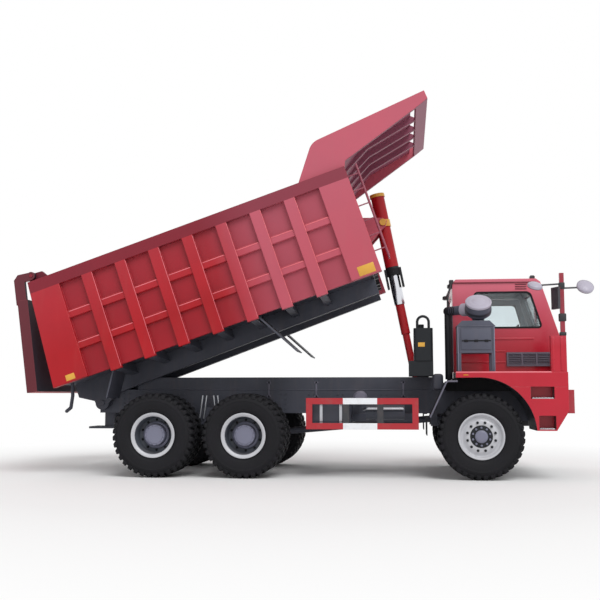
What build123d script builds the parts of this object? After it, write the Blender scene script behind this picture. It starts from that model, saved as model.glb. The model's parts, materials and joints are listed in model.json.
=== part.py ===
"""Wide-body mining dump truck with its bed raised, in millimetres.

Everything is drawn about the front axle: X forward, Y to the left, Z up from the ground.
The bed is drawn level, from its hinge, and then tipped. At the end all pieces move by one
step so that the origin is on the ground under the middle of the truck.
"""
from build123d import *
import math
import os

# Wheels and axles
WHEELBASE = 3800
TANDEM_SPREAD = 1500
FRONT_TRACK = 2700
REAR_TRACK = 2450
TWIN_SPACING = 430
TYRE_RADIUS = 685
TYRE_WIDTH = 374
TREAD_WIDTH = 330
CARCASS_RADIUS = 640
BULGE_RADIUS = 520
BEAD_WIDTH = 280
LUGS = 24
LUG_FOOT = 122
LUG_TOP = 96
RIM_RADIUS = 345
RIM_WALL = 20
FLANGE_HEIGHT = 22
FLANGE_THICKNESS = 10
FRONT_SPINDLE_R = 62
REAR_SPINDLE_R = 90
HUB_CAP_ROOM = 8
RUN_FIT = 0.4
SEAT_FIT = 0.3
MOVE_GAP = 6

# Ladder frame
RAIL_INNER = 380
RAIL_OUTER = 460
RAIL_BOTTOM = 1026
RAIL_TOP = 1430
RAIL_FRONT = 1262
RAIL_REAR = -6580
RAIL_PLATE = 14
SUBFRAME_TOP = 1645
SUBFRAME_FRONT = -600
SUBFRAME_REAR = -5900

# Bed hinge and bed
HINGE_X = RAIL_REAR + 80
HINGE_Z = 1200
HINGE_PIN_R = 45
HINGE_BOSS_R = 100
HINGE_BOSS_T = 24
BED_TILT = 19.07
BED_REST_GAP = 10
BEAM_WIDTH = 120
BEAM_DEPTH = 380
FLOOR_THICKNESS = 60
BED_INNER = 1500
BED_WALL = 60
RIB_PROUD = 80
RIB_WIDTH = 190
RIB_COUNT = 7
RIB_FIRST = 731
RIB_PITCH = 603
STIFFENER_PROUD = 55
STIFFENER_HEIGHT = 150
BED_TAIL = -382
BED_TAIL_LEAN = 3.1
BED_NOSE = 5385
FRONT_WALL_FACE = 5250
SIDE_BOTTOM = 400
SIDE_TOP = 2240
RAIL_DEPTH = 200
REAR_PILLAR_END = 230
FRONT_PILLAR_START = 4872

# Tailgate
GATE_PIVOT_X = -193
GATE_PIVOT_Z = 2330
GATE_OPEN = 7.9
GATE_GAP = 14
GATE_PLATE = 60
GATE_RIB = 120
GATE_PIN_R = 30

# Hoist, from its trunnion on the bed to its foot between the rails
TRUNNION_X = 5723
TRUNNION_Z = 1405
HOIST_FOOT_X = -936
HOIST_FOOT_Z = 1250
BARREL_R = 120
BARREL_ABOVE = 554
BARREL_BELOW = 950
STAGE_RADII = (95, 79, 63, 48)
STAGE_LENGTH = 1400
EYE_LENGTH = 117
STAGE_FIT = 0.5
TRUNNION_R = 45

# Cab, deck and bumper
CAB_RIGHT = -550
CAB_LEFT = 1550
CAB_REAR = -367
CAB_FLOOR = 1700
CAB_ROOF = 3310
CAB_WALL = 60
FENDER_REAR = -387
FENDER_INNER = 560
BODY_HALF = 1550
ARCH_RADIUS = 885
ARCH_X = -30
ARCH_RISE = 45
BUMPER_FRONT = 1353
BUMPER_TOP = 1450
BUMPER_BOTTOM = 782
GLASS = 12

HALF_TRACK = FRONT_TRACK / 2
REAR_MIDDLE = REAR_TRACK / 2
REAR_AXLES = (-WHEELBASE, -WHEELBASE - TANDEM_SPREAD)
TANDEM_X = sum(REAR_AXLES) / 2
BEAM_INNER = RAIL_OUTER + HINGE_BOSS_T + MOVE_GAP
BEAM_OUTER = BEAM_INNER + BEAM_WIDTH
BED_FLOOR = SUBFRAME_TOP + BED_REST_GAP - HINGE_Z
BEAM_BOTTOM = BED_FLOOR - BEAM_DEPTH
BED_OUTER = BED_INNER + BED_WALL + RIB_PROUD
CAB_HEIGHT = CAB_ROOF - CAB_FLOOR
RIBS = [RIB_FIRST + RIB_PITCH * i for i in range(RIB_COUNT)]

pieces = {}


def block(x, y, z):
    """A box between two values on each axis."""
    size = [b - a for a, b in (x, y, z)]
    middle = [(a + b) / 2 for a, b in (x, y, z)]
    return Pos(*middle) * Box(*size)


def outline(points, y):
    """A flat face from points in X and Z, standing at one Y."""
    return Plane.XZ.offset(-y) * make_face(Polyline(*points, close=True))


def prism(points, y):
    """An outline in X and Z, as thick as the two Y values."""
    low, high = y
    return extrude(outline(points, high), high - low)


def rod_y(x, z, radius, y):
    """A round bar along Y."""
    low, high = y
    return Pos(x, (low + high) / 2, z) * Rot(90, 0, 0) * Cylinder(radius, high - low)


def rod(start, end, radius):
    """A round bar between two points."""
    axis = Vector(*end) - Vector(*start)
    return Plane(origin=start, z_dir=axis) * Cylinder(
        radius, axis.length, align=(Align.CENTER, Align.CENTER, Align.MIN))


def both_sides(shape):
    """A piece and its mirror image across the truck."""
    return [shape, mirror(shape, Plane.XZ)]


def cab_z(share):
    """A height in the cab, as a share of the way from its floor to its roof."""
    return CAB_FLOOR + share * CAB_HEIGHT


def side_range(side, low, high):
    """Two distances from the middle, as a rising pair of Y values on one side."""
    return tuple(sorted((side * low, side * high)))


def turned(section):
    """A section in radius and Y, turned about the Y axis."""
    return revolve(make_face(Polyline(*section, close=True)), Axis.Y)


# Tyres
def ring_face(flat_radius, y):
    """A polygon with one flat for each lug, measured across its flats."""
    step = 2 * math.pi / LUGS
    corner = flat_radius / math.cos(step / 2)
    angles = [(k + 0.5) * step for k in range(LUGS)]
    return outline([(corner * math.cos(a), corner * math.sin(a)) for a in angles], y)


def make_tyre():
    """A tyre about the origin: bead, bulging wall, shoulder and cross lugs."""
    bore = RIM_RADIUS + SEAT_FIT
    half_section = [(BEAD_WIDTH / 2, bore), (TYRE_WIDTH / 2, BULGE_RADIUS), (TREAD_WIDTH / 2, CARCASS_RADIUS)]
    stations = [(-y, r) for y, r in half_section] + [(y, r) for y, r in reversed(half_section)]
    carcass = loft([ring_face(r, y) for y, r in stations], ruled=True)
    carcass -= extrude(ring_face(bore, BEAD_WIDTH), 2 * BEAD_WIDTH)
    root = CARCASS_RADIUS - 20
    lug = prism([(-LUG_FOOT / 2, -root), (LUG_FOOT / 2, -root),
                 (LUG_TOP / 2, -TYRE_RADIUS), (-LUG_TOP / 2, -TYRE_RADIUS)],
                (-TREAD_WIDTH / 2, TREAD_WIDTH / 2))
    return carcass + [Rot(0, k * 360 / LUGS, 0) * lug for k in range(LUGS)]


def barrel_outline(middle, near_wall, side):
    """The rim's outer line over one tyre, from its inner flange to its outer flange."""
    half = BEAD_WIDTH / 2 + FLANGE_THICKNESS
    lip = half + FLANGE_THICKNESS - 3
    bead = half - 3
    top = RIM_RADIUS + FLANGE_HEIGHT
    inner = RIM_RADIUS - RIM_WALL
    line = [(inner if near_wall else RIM_RADIUS - 5, -lip), (top, -lip), (top, -bead), (RIM_RADIUS, -bead),
            (RIM_RADIUS, bead), (top, bead), (top, lip), (inner, lip)]
    return [(r, side * (middle + y)) for r, y in line]


def front_rim(side):
    """A front rim with its drum, its outward dish and its hub cap."""
    bore = FRONT_SPINDLE_R + RUN_FIT
    inner = RIM_RADIUS - RIM_WALL
    back = [(bore, -120), (230, -120), (230, 0), (inner, 10)]
    dish = [(inner, 60), (245, 96), (165, 118), (125, 118), (125, 166), (88, 184), (0, 184), (0, 150),
            (bore, 150)]
    line = [(r, side * y) for r, y in back] + barrel_outline(0, True, side) + [(r, side * y) for r, y in dish]
    return turned(line)


def rear_rim(side):
    """Twin rear rims on one hub, with a deep dish on the outer one."""
    bore = REAR_SPINDLE_R + RUN_FIT
    inner = RIM_RADIUS - RIM_WALL
    half = TWIN_SPACING / 2
    back = [(bore, -150), (205, -150), (205, -50), (inner, -50)]
    near = barrel_outline(-half, True, side)
    near[-1] = (RIM_RADIUS - 5, near[-1][1])
    far = barrel_outline(half, False, side)
    dish = [(inner, 96), (215, 62), (215, 130), (160, 150), (160, 250), (128, 276), (0, 276), (0, 245),
            (bore, 245)]
    line = [(r, side * y) for r, y in back] + near + far + [(r, side * y) for r, y in dish]
    return turned(line)


TYRE = make_tyre()
SIDES = {"left": 1, "right": -1}
for side_name, side in SIDES.items():
    place = Pos(0, side * HALF_TRACK, TYRE_RADIUS)
    pieces[f"front_tyre_{side_name}"] = place * TYRE
    pieces[f"front_rim_{side_name}"] = place * front_rim(side)
    for number, axle_x in enumerate(REAR_AXLES, 1):
        place = Pos(axle_x, side * REAR_MIDDLE, TYRE_RADIUS)
        twins = [place * Pos(0, offset, 0) * TYRE for offset in (-TWIN_SPACING / 2, TWIN_SPACING / 2)]
        pieces[f"rear_{number}_tyres_{side_name}"] = Compound(children=twins)
        pieces[f"rear_{number}_rims_{side_name}"] = place * rear_rim(side)


def prism_yz(points, x):
    """An outline in Y and Z, as long as the two X values."""
    low, high = x
    face = Plane.YZ.offset(low) * make_face(Polyline(*points, close=True))
    return extrude(face, high - low)


def group(*shapes):
    """Like pieces that share one node without touching."""
    flat = []
    for shape in shapes:
        flat.extend(shape if isinstance(shape, (list, tuple)) else [shape])
    return Compound(children=flat)


# Ladder frame with its cross-members, hinge bosses and hinge pins
WEB = RAIL_OUTER - RAIL_PLATE
CROSS_MEMBERS = [  # middle in X, length, bottom, top
    (1130, 120, 1060, 1250),
    (HOIST_FOOT_X, 420, RAIL_BOTTOM, 1076),
    (1500 - WHEELBASE, 140, 1190, 1390),
    (500 - WHEELBASE, 140, 1190, 1390),
    (TANDEM_X, 260, 1120, 1390),
    (RAIL_REAR + 100, 200, RAIL_BOTTOM, RAIL_TOP),
]


def channel(x, z):
    """One channel rail of the left side, open towards the middle."""
    bottom, top = z
    rail = block(x, (RAIL_INNER, RAIL_OUTER), z)
    return rail - block(x, (RAIL_INNER, WEB), (bottom + RAIL_PLATE, top - RAIL_PLATE))


def make_frame():
    """Both rails, what ties them together and the pins that the bed turns on."""
    shape = both_sides(channel((RAIL_REAR, RAIL_FRONT), (RAIL_BOTTOM, RAIL_TOP)))
    for x, length, bottom, top in CROSS_MEMBERS:
        shape.append(block((x - length / 2, x + length / 2), (-WEB, WEB), (bottom, top)))
    shape += both_sides(rod_y(HINGE_X, HINGE_Z, HINGE_BOSS_R, (WEB, RAIL_OUTER + HINGE_BOSS_T)))
    shape += both_sides(rod_y(HINGE_X, HINGE_Z, HINGE_PIN_R, (WEB, BEAM_OUTER + 15)))
    return shape[0] + shape[1:]


SUBFRAME_TIES = (-1500, -2800, -4100)


def make_subframe():
    """The second pair of channels that lies on the rails under the bed."""
    shape = both_sides(channel((SUBFRAME_REAR, SUBFRAME_FRONT), (RAIL_TOP, SUBFRAME_TOP)))
    for x in SUBFRAME_TIES:
        shape.append(block((x - 50, x + 50), (-WEB, WEB), (RAIL_TOP + 40, SUBFRAME_TOP - 40)))
    return shape[0] + shape[1:]


FOOT_EAR_GAP = 70
FOOT_EAR_T = 40


def make_hoist_foot():
    """Two ears on the cross-member, with the hoist's lower eye between them."""
    ear = prism([(HOIST_FOOT_X - 200, 1076), (HOIST_FOOT_X + 200, 1076),
                 (HOIST_FOOT_X + 90, HOIST_FOOT_Z + 70), (HOIST_FOOT_X - 90, HOIST_FOOT_Z + 70)],
                (FOOT_EAR_GAP, FOOT_EAR_GAP + FOOT_EAR_T))
    return both_sides(ear)


TOW_PLATE_Z = (740, 776)
TOW_REACH = 280
TOW_PLATE_END = RAIL_REAR - TOW_REACH
TOW_BORE_R = 28


def make_tow_hitch():
    """A tow plate with an upright bore, hung below the rear cross-member."""
    front = RAIL_REAR + 180
    plate = block((TOW_PLATE_END, front), (-240, 240), TOW_PLATE_Z)
    gusset = block((RAIL_REAR, front), (150, 190), (TOW_PLATE_Z[1], RAIL_BOTTOM))
    shape = plate + both_sides(gusset)
    bore = Pos(TOW_PLATE_END + 90, 0, sum(TOW_PLATE_Z) / 2) * Cylinder(TOW_BORE_R, 60)
    return shape - bore


pieces["frame"] = make_frame() + make_hoist_foot()
pieces["subframe"] = make_subframe()
pieces["tow_hitch"] = make_tow_hitch()

# Front axle, knuckles and springs
KINGPIN_Y = 1080
KINGPIN_R = 40
KINGPIN_BOSS_R = 75
BOSS_Z = (TYRE_RADIUS - 65, TYRE_RADIUS + 65)
BEAM_Z = (525, 645)
BEAM_HALF = 65
KNUCKLE_ARM = 44
LEAF = 28
FRONT_LEAVES = (300, 420, 540, 650, 760)
SPRING_SEAT = 55


def make_front_axle():
    """A dropped I-beam with upright kingpin bosses and spring seats."""
    drop = 850
    beam = block((-BEAM_HALF, BEAM_HALF), (-drop, drop), BEAM_Z)
    for side in (1, -1):
        face = side * BEAM_HALF
        hollow = tuple(sorted((face, face - side * 42)))
        beam -= block(hollow, (-drop + 60, drop - 60), (BEAM_Z[0] + 26, BEAM_Z[1] - 26))
    end = KINGPIN_Y - KINGPIN_BOSS_R * 0.8
    rise = prism_yz([(drop, BEAM_Z[0]), (end, BOSS_Z[0] + 8), (end, BOSS_Z[1] - 8), (drop, BEAM_Z[1])],
                    (-BEAM_HALF, BEAM_HALF))
    boss_height = BOSS_Z[1] - BOSS_Z[0]
    boss = Pos(0, KINGPIN_Y, TYRE_RADIUS) * Cylinder(KINGPIN_BOSS_R, boss_height)
    bore = Pos(0, KINGPIN_Y, TYRE_RADIUS) * Cylinder(KINGPIN_R + RUN_FIT, boss_height + 20)
    seat = block((-120, 120), (RAIL_INNER, RAIL_OUTER), (BEAM_Z[1], BEAM_Z[1] + SPRING_SEAT))
    return beam + both_sides(rise + boss - bore) + both_sides(seat)


def make_front_springs():
    """Leaf packs from the axle seats up to hangers under the rails."""
    bottom = BEAM_Z[1] + SPRING_SEAT
    y = (RAIL_INNER, RAIL_OUTER)
    leaves = [block((-half, half), y, (bottom + i * LEAF, bottom + (i + 1) * LEAF))
              for i, half in enumerate(FRONT_LEAVES)]
    top = bottom + len(FRONT_LEAVES) * LEAF
    reach = FRONT_LEAVES[-1]
    hangers = [block((x - 55, x + 55), y, (top, RAIL_BOTTOM)) for x in (reach - 55, 55 - reach)]
    return both_sides(leaves[0] + leaves[1:] + hangers)


KNUCKLE_ROUND = 62


def make_knuckle(side):
    """A forked knuckle on its kingpin, with the stub axle that carries the wheel."""
    wall = (KINGPIN_Y + KINGPIN_BOSS_R + MOVE_GAP, KINGPIN_Y + KINGPIN_BOSS_R + MOVE_GAP + 40)
    low = BOSS_Z[0] - MOVE_GAP
    high = BOSS_Z[1] + MOVE_GAP
    shape = Pos(0, side * KINGPIN_Y, TYRE_RADIUS) * Cylinder(KINGPIN_R, high - low + 2 * KNUCKLE_ARM)
    arm = side_range(side, KINGPIN_Y, wall[1])
    for bottom in (high, low - KNUCKLE_ARM):
        shape += block((-70, 70), arm, (bottom, bottom + KNUCKLE_ARM))
        shape += Pos(0, side * KINGPIN_Y, bottom + KNUCKLE_ARM / 2) * Cylinder(KNUCKLE_ROUND, KNUCKLE_ARM)
    shape += block((-70, 70), side_range(side, *wall), (low - KNUCKLE_ARM, high + KNUCKLE_ARM))
    stub_end = HALF_TRACK + 150 - HUB_CAP_ROOM
    return shape + rod_y(0, TYRE_RADIUS, FRONT_SPINDLE_R, side_range(side, wall[0] + 20, stub_end))


pieces["front_axle"] = make_front_axle()
for side_name, side in SIDES.items():
    pieces[f"knuckle_{side_name}"] = make_knuckle(side)

# Rear axles, their springs and the drive train
AXLE_TUBE_R = 110
DIFF_R = 240
DIFF_NOSE = 300
TUBE_END = REAR_MIDDLE - 165
SPRING_Y = (540, 640)
AXLE_PAD = 36
REAR_LEAVES = (820, 700, 580, 460, 340)
LEAF_REAR = 40


def make_rear_axles():
    """Two drive axles: a round differential housing, tubes and wheel spindles."""
    axles = []
    for x in REAR_AXLES:
        at = Pos(x, 0, TYRE_RADIUS)
        shape = at * Sphere(DIFF_R) + at * Rot(0, 90, 0) * Cylinder(90, 2 * DIFF_NOSE)
        shape += rod_y(x, TYRE_RADIUS, AXLE_TUBE_R, (-TUBE_END, TUBE_END))
        spindle = REAR_MIDDLE + 245 - HUB_CAP_ROOM
        shape += rod_y(x, TYRE_RADIUS, REAR_SPINDLE_R, (-spindle, spindle))
        pad = block((x - 90, x + 90), SPRING_Y, (TYRE_RADIUS, TYRE_RADIUS + AXLE_TUBE_R + AXLE_PAD))
        axles.append(shape + both_sides(pad))
    return group(axles)


def make_rear_springs():
    """Leaf packs that rest on both axles and hang on a saddle in the middle."""
    bottom = TYRE_RADIUS + AXLE_TUBE_R + AXLE_PAD
    leaves = [block((TANDEM_X - half, TANDEM_X + half), SPRING_Y,
                    (bottom + i * LEAF_REAR, bottom + (i + 1) * LEAF_REAR))
              for i, half in enumerate(REAR_LEAVES)]
    top = bottom + len(REAR_LEAVES) * LEAF_REAR
    saddle = prism([(TANDEM_X - 190, top), (TANDEM_X + 190, top), (TANDEM_X + 130, top + 90),
                    (TANDEM_X - 130, top + 90)],
                   (RAIL_OUTER, SPRING_Y[1]))
    return both_sides(leaves[0] + leaves[1:] + [saddle])


ENGINE_X = (-200, 1000)
ENGINE_HALF = 330
ENGINE_Z = (900, 1660)
GEARBOX_END = -700
SHAFT_R = 58


def make_engine():
    """One plain block on four feet over the rails."""
    shape = block(ENGINE_X, (-ENGINE_HALF, ENGINE_HALF), ENGINE_Z)
    for x in (ENGINE_X[0] + 150, ENGINE_X[1] - 150):
        shape += block((x - 60, x + 60), (-RAIL_OUTER + 30, RAIL_OUTER - 30), (RAIL_TOP, RAIL_TOP + 40))
    return shape


def make_driveline():
    """Gearbox, propeller shaft down to the first axle and the shaft between the axles."""
    gearbox = block((-430, ENGINE_X[0]), (-230, 230), (800, 1220))
    gearbox += Pos((GEARBOX_END - 430) / 2, 0, 930) * Rot(0, 90, 0) * Cylinder(130, -430 - GEARBOX_END)
    nose = REAR_AXLES[0] + DIFF_NOSE
    flange = Pos(nose + 20, 0, TYRE_RADIUS) * Rot(0, 90, 0) * Cylinder(88, 40)
    shaft = rod((GEARBOX_END + 20, 0, 930), (nose + 20, 0, TYRE_RADIUS), SHAFT_R)
    through = block((nose - 200, nose), (-200, 200), (TYRE_RADIUS - 200, TYRE_RADIUS + 200))
    between = rod((REAR_AXLES[0] - DIFF_NOSE, 0, TYRE_RADIUS),
                  (REAR_AXLES[1] + DIFF_NOSE, 0, TYRE_RADIUS), SHAFT_R)
    return group(gearbox + shaft + flange - through, between)


pieces["rear_axles"] = make_rear_axles()
pieces["springs"] = group(make_front_springs(), make_rear_springs())
pieces["engine_block"] = make_engine()
pieces["driveline"] = make_driveline()

# Fenders and bumper, cut from one side outline
SPLIT_Z = BUMPER_TOP + 20
CHAMFER_TOP = 1092
CHAMFER_FOOT = 1160
FRONT_OUTLINE = [
    (FENDER_REAR, CAB_FLOOR), (BUMPER_FRONT, CAB_FLOOR), (BUMPER_FRONT, CHAMFER_TOP),
    (CHAMFER_FOOT, BUMPER_BOTTOM), (ARCH_X, BUMPER_BOTTOM), (FENDER_REAR, SPLIT_Z)]
ARCH_Z = TYRE_RADIUS + ARCH_RISE
FENDER_FOOT = ARCH_Z + ARCH_RADIUS
STEP_DEPTH = 220
STEPS = [  # rear, front, bottom, top
    (770, 1135, 1282, SPLIT_Z),
    (890, 1150, 802, 1016),
]
BUMPER_SIDE = 650


def front_body(y):
    """The outline of fender and bumper with the wheel arch cut out: round ahead, level behind."""
    wide = (y[0] - 50, y[1] + 50)
    arch = rod_y(ARCH_X, ARCH_Z, ARCH_RADIUS, wide)
    arch += block((FENDER_REAR - 50, ARCH_X), wide, (ARCH_Z, FENDER_FOOT))
    return prism(FRONT_OUTLINE, y) - arch


def make_fender(side):
    """A deck over the wheel, curved to the arch below."""
    shape = front_body(side_range(side, FENDER_INNER, BODY_HALF))
    return shape & block((-2000, 2000), (-2000, 2000), (SPLIT_Z, CAB_FLOOR))


def make_bumper():
    """The front bumper with a closed front, open behind, and steps cut in its ends."""
    shape = front_body((-BODY_HALF, BODY_HALF)) & block((-2000, 2000), (-2000, 2000), (0, SPLIT_Z))
    shape -= block((0, RAIL_FRONT), (-BUMPER_SIDE, BUMPER_SIDE), (0, SPLIT_Z))
    for rear, front, bottom, top in STEPS:
        shape -= both_sides(block((rear, front), (BODY_HALF - STEP_DEPTH, BODY_HALF + 1), (bottom, top)))
    return shape


for side_name, side in SIDES.items():
    pieces[f"fender_{side_name}"] = make_fender(side)
pieces["front_bumper"] = make_bumper()

# Lamps, grille and cab posts
LAMP_Z = (1054, 1423)
LAMP_PROUD = 95
LAMP_Y = (1010, 1490)
GRILLE_HALF = 560
GRILLE_Z = (1130, 1420)
GRILLE_SLATS = 5


def make_lamps():
    """A lamp housing at each front corner, open in front, with two round lamps."""
    x = (BUMPER_FRONT, BUMPER_FRONT + LAMP_PROUD)
    house = block(x, LAMP_Y, LAMP_Z)
    house -= block((x[0] + 30, x[1] + 1), (LAMP_Y[0] + 20, LAMP_Y[1] - 20), (LAMP_Z[0] + 20, LAMP_Z[1] - 20))
    middle = (LAMP_Y[0] + LAMP_Y[1]) / 2
    for y in (middle - 105, middle + 105):
        house += Pos(x[0] + 45, y, sum(LAMP_Z) / 2) * Rot(0, 90, 0) * Cylinder(85, 50)
    return group(both_sides(house))


ROOF_LAMP_X = (945, 1025)
ROOF_LAMP_HEIGHT = 60
WORK_LAMP = 75
SMALL_LAMP_WIDTH = 110
TAIL_LAMP_Y = (230, RAIL_OUTER - 20)
TAIL_LAMP_Z = (1140, 1280)


def make_small_lamps():
    """Marker lamps on the roof, work lamps at the cab's rear corners and tail lamps on the frame."""
    lamps = []
    for y in (CAB_RIGHT + 30, CAB_LEFT - 30 - SMALL_LAMP_WIDTH):
        width = (y, y + SMALL_LAMP_WIDTH)
        marker = block(ROOF_LAMP_X, width, (CAB_ROOF, CAB_ROOF + ROOF_LAMP_HEIGHT))
        lamps.append(chamfer(marker.edges().group_by(Axis.Z)[-1], 15))
        work = block((CAB_REAR - WORK_LAMP, CAB_REAR), width, (CAB_ROOF - 75 - WORK_LAMP, CAB_ROOF - 75))
        lamps.append(chamfer(work.edges().group_by(Axis.X)[0], 16))
    tail = block((RAIL_REAR - 45, RAIL_REAR), TAIL_LAMP_Y, TAIL_LAMP_Z)
    return lamps + both_sides(tail)


LOUVRE_X = (520, 1268)
LOUVRE_Z = (1819, 2056)
LOUVRE_PROUD = 34
LOUVRE_SLATS = 6
LOUVRE_BAYS = 3


def make_louvre():
    """The engine's side louvre under the cab window: a frame of three bays with sloping slats."""
    back = CAB_RIGHT
    y = (back - LOUVRE_PROUD, back)
    bay = (LOUVRE_X[1] - LOUVRE_X[0] - 30) / LOUVRE_BAYS
    height = LOUVRE_Z[1] - LOUVRE_Z[0] - 60
    pitch = height / LOUVRE_SLATS
    shape = block(LOUVRE_X, y, LOUVRE_Z)
    for i in range(LOUVRE_BAYS):
        x = (LOUVRE_X[0] + 30 + bay * i, LOUVRE_X[0] + bay * (i + 1))
        shape -= block(x, (y[0] - 1, back - 8), (LOUVRE_Z[0] + 30, LOUVRE_Z[1] - 30))
        for k in range(LOUVRE_SLATS):
            z = LOUVRE_Z[0] + 30 + pitch * k
            slat = [(back - 9, z + pitch * 0.55), (back - 9, z + pitch * 0.85), (y[0] + 4, z + pitch * 0.4),
                    (y[0] + 4, z + pitch * 0.1)]
            shape += prism_yz(slat, (x[0] - 2, x[1] + 2))
    return shape


def make_grille():
    """A framed row of slats in the middle of the bumper's front."""
    x = (BUMPER_FRONT, BUMPER_FRONT + 40)
    y = (-GRILLE_HALF, GRILLE_HALF)
    shape = block(x, y, GRILLE_Z)
    shape -= block((x[0] + 12, x[1] + 1), (y[0] + 30, y[1] - 30), (GRILLE_Z[0] + 30, GRILLE_Z[1] - 30))
    pitch = (GRILLE_Z[1] - GRILLE_Z[0] - 60) / GRILLE_SLATS
    for i in range(GRILLE_SLATS):
        z = GRILLE_Z[0] + 30 + pitch * (i + 0.5)
        shape += block((x[0], x[1] - 8), (y[0] + 10, y[1] - 10), (z - pitch * 0.22, z + pitch * 0.22))
    return shape


def make_cab_posts():
    """Posts from the rails up to the cab floor and arms out to the fenders."""
    posts = []
    for x in (-300, 1120):
        post = block((x - 50, x + 50), (RAIL_INNER, RAIL_OUTER), (RAIL_TOP, CAB_FLOOR))
        arm = block((x - 50, x + 50), (RAIL_OUTER, FENDER_INNER), (CAB_FLOOR - 120, CAB_FLOOR))
        posts += both_sides(post + arm)
    return group(posts)


pieces["lamps"] = group(make_lamps(), make_small_lamps())
pieces["front_grille"] = make_grille()
pieces["side_louvre"] = make_louvre()
pieces["cab_posts"] = make_cab_posts()

# Cab shell, split where its panels meet
SCREEN_TOP = (1110, CAB_ROOF - 55)
SCREEN_FOOT = (1400, cab_z(0.404))
CAB_OUTLINE = [
    (CAB_REAR, CAB_FLOOR), (CAB_REAR, CAB_ROOF - 60), (CAB_REAR + 60, CAB_ROOF), (1040, CAB_ROOF), SCREEN_TOP,
    SCREEN_FOOT, (1435, cab_z(0.366)), (1400, CAB_FLOOR)]
CAB_INNER_Y = (CAB_RIGHT + CAB_WALL, CAB_LEFT - CAB_WALL)
ROOF_BOTTOM = CAB_ROOF - CAB_WALL
FLOOR_TOP = CAB_FLOOR + CAB_WALL
SILL = cab_z(0.482)
WINDOW_TOP = CAB_ROOF - 230
WINDOW = [(0, SILL), (1125, SILL), (930, WINDOW_TOP), (0, WINDOW_TOP)]
WINDOW_ROUND = 70
REAR_WINDOW_Z = (cab_z(0.466), CAB_ROOF - 250)
SCREEN_MARGIN = 90
DOOR_FRONT = 1240
DOOR_FOOT = FLOOR_TOP + 30
DOOR_TOP = CAB_ROOF - 140
DOOR = [(-20, DOOR_FOOT), (DOOR_FRONT, DOOR_FOOT), (DOOR_FRONT, cab_z(0.435)), (1004, DOOR_TOP),
        (-20, DOOR_TOP)]
DOOR_SILL = cab_z(0.46)
DOOR_WINDOW_TOP = CAB_ROOF - 250
DOOR_WINDOW = [(70, DOOR_SILL), (1100, DOOR_SILL), (930, DOOR_WINDOW_TOP), (70, DOOR_WINDOW_TOP)]
FAR = 4000


def rounded_prism(points, y, radius, shrink=0):
    """An outline with rounded corners, made smaller by a clearance, as thick as the two Y values."""
    low, high = y
    face = make_face(Polyline(*points, close=True))
    face = fillet(face.vertices(), radius)
    if shrink:
        face = offset(face, -shrink)
    return extrude(Plane.XZ.offset(-high) * face, high - low)


def screen_slab(margin, depth, y):
    """A slab along the windscreen, from one depth to another below the outer face."""
    top = Vector(SCREEN_TOP[0], SCREEN_TOP[1])
    foot = Vector(SCREEN_FOOT[0], SCREEN_FOOT[1])
    along = (foot - top).normalized()
    inward = Vector(along.Y, -along.X)
    start = top + along * margin
    end = foot - along * margin
    outer, inner = inward * depth[0], inward * depth[1]
    corners = [start + outer, end + outer, end + inner, start + inner]
    return prism([(c.X, c.Y) for c in corners], y)


def make_cab():
    """The cab's panels, as thick as the real walls, with their windows cut."""
    outer = make_face(Polyline(*CAB_OUTLINE, close=True))
    inner = offset(outer, -CAB_WALL, kind=Kind.INTERSECTION)
    low, high = CAB_INNER_Y
    band = extrude(Plane.XZ.offset(-high) * (outer - inner), high - low)
    wide = (low - 1, high + 1)
    floor = band & block((-FAR, FAR), wide, (0, FLOOR_TOP))
    roof = band & block((-FAR, FAR), wide, (ROOF_BOTTOM, FAR))
    rear = band & block((-FAR, 0), wide, (FLOOR_TOP, ROOF_BOTTOM))
    front = band & block((0, FAR), wide, (FLOOR_TOP, ROOF_BOTTOM))
    rear_opening = (low + 250, high - 250)
    rear -= block((CAB_REAR - 10, CAB_REAR + CAB_WALL + 10), rear_opening, REAR_WINDOW_Z)
    screen_y = (low + 50, high - 50)
    front -= screen_slab(SCREEN_MARGIN, (-200, 200), screen_y)
    right = prism(CAB_OUTLINE, (CAB_RIGHT, low))
    right -= rounded_prism(WINDOW, (CAB_RIGHT - 10, low + 10), WINDOW_ROUND)
    left = prism(CAB_OUTLINE, (high, CAB_LEFT)) - rounded_prism(DOOR, (high - 10, CAB_LEFT + 10), 40)
    pieces["cab_floor"] = floor
    pieces["cab_roof"] = roof
    pieces["cab_rear_wall"] = rear
    pieces["cab_front_frame"] = front
    pieces["cab_right_wall"] = right
    pieces["cab_left_frame"] = left + door_hinges(False)
    screen = screen_slab(SCREEN_MARGIN + SEAT_FIT, (20, 20 + GLASS),
                         (screen_y[0] + SEAT_FIT, screen_y[1] - SEAT_FIT))
    pane_y = (CAB_RIGHT + 24, CAB_RIGHT + 24 + GLASS)
    side_pane = rounded_prism(WINDOW, pane_y, WINDOW_ROUND, SEAT_FIT)
    rear_pane = block((CAB_REAR + 24, CAB_REAR + 24 + GLASS),
                      (rear_opening[0] + SEAT_FIT, rear_opening[1] - SEAT_FIT),
                      (REAR_WINDOW_Z[0] + SEAT_FIT, REAR_WINDOW_Z[1] - SEAT_FIT))
    pieces["cab_glass"] = group(screen, side_pane, rear_pane)


# Cab door on the left, on two outside hinges at its front edge
HINGE_AXIS_X = DOOR_FRONT
HINGE_AXIS_Y = CAB_LEFT + 18
DOOR_HINGE_R = 15
DOOR_HINGES = (cab_z(0.162), cab_z(0.373))
HANDLE_Z = (cab_z(0.36), cab_z(0.36) + 30)
DOOR_HINGE_HALF = 45


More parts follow.
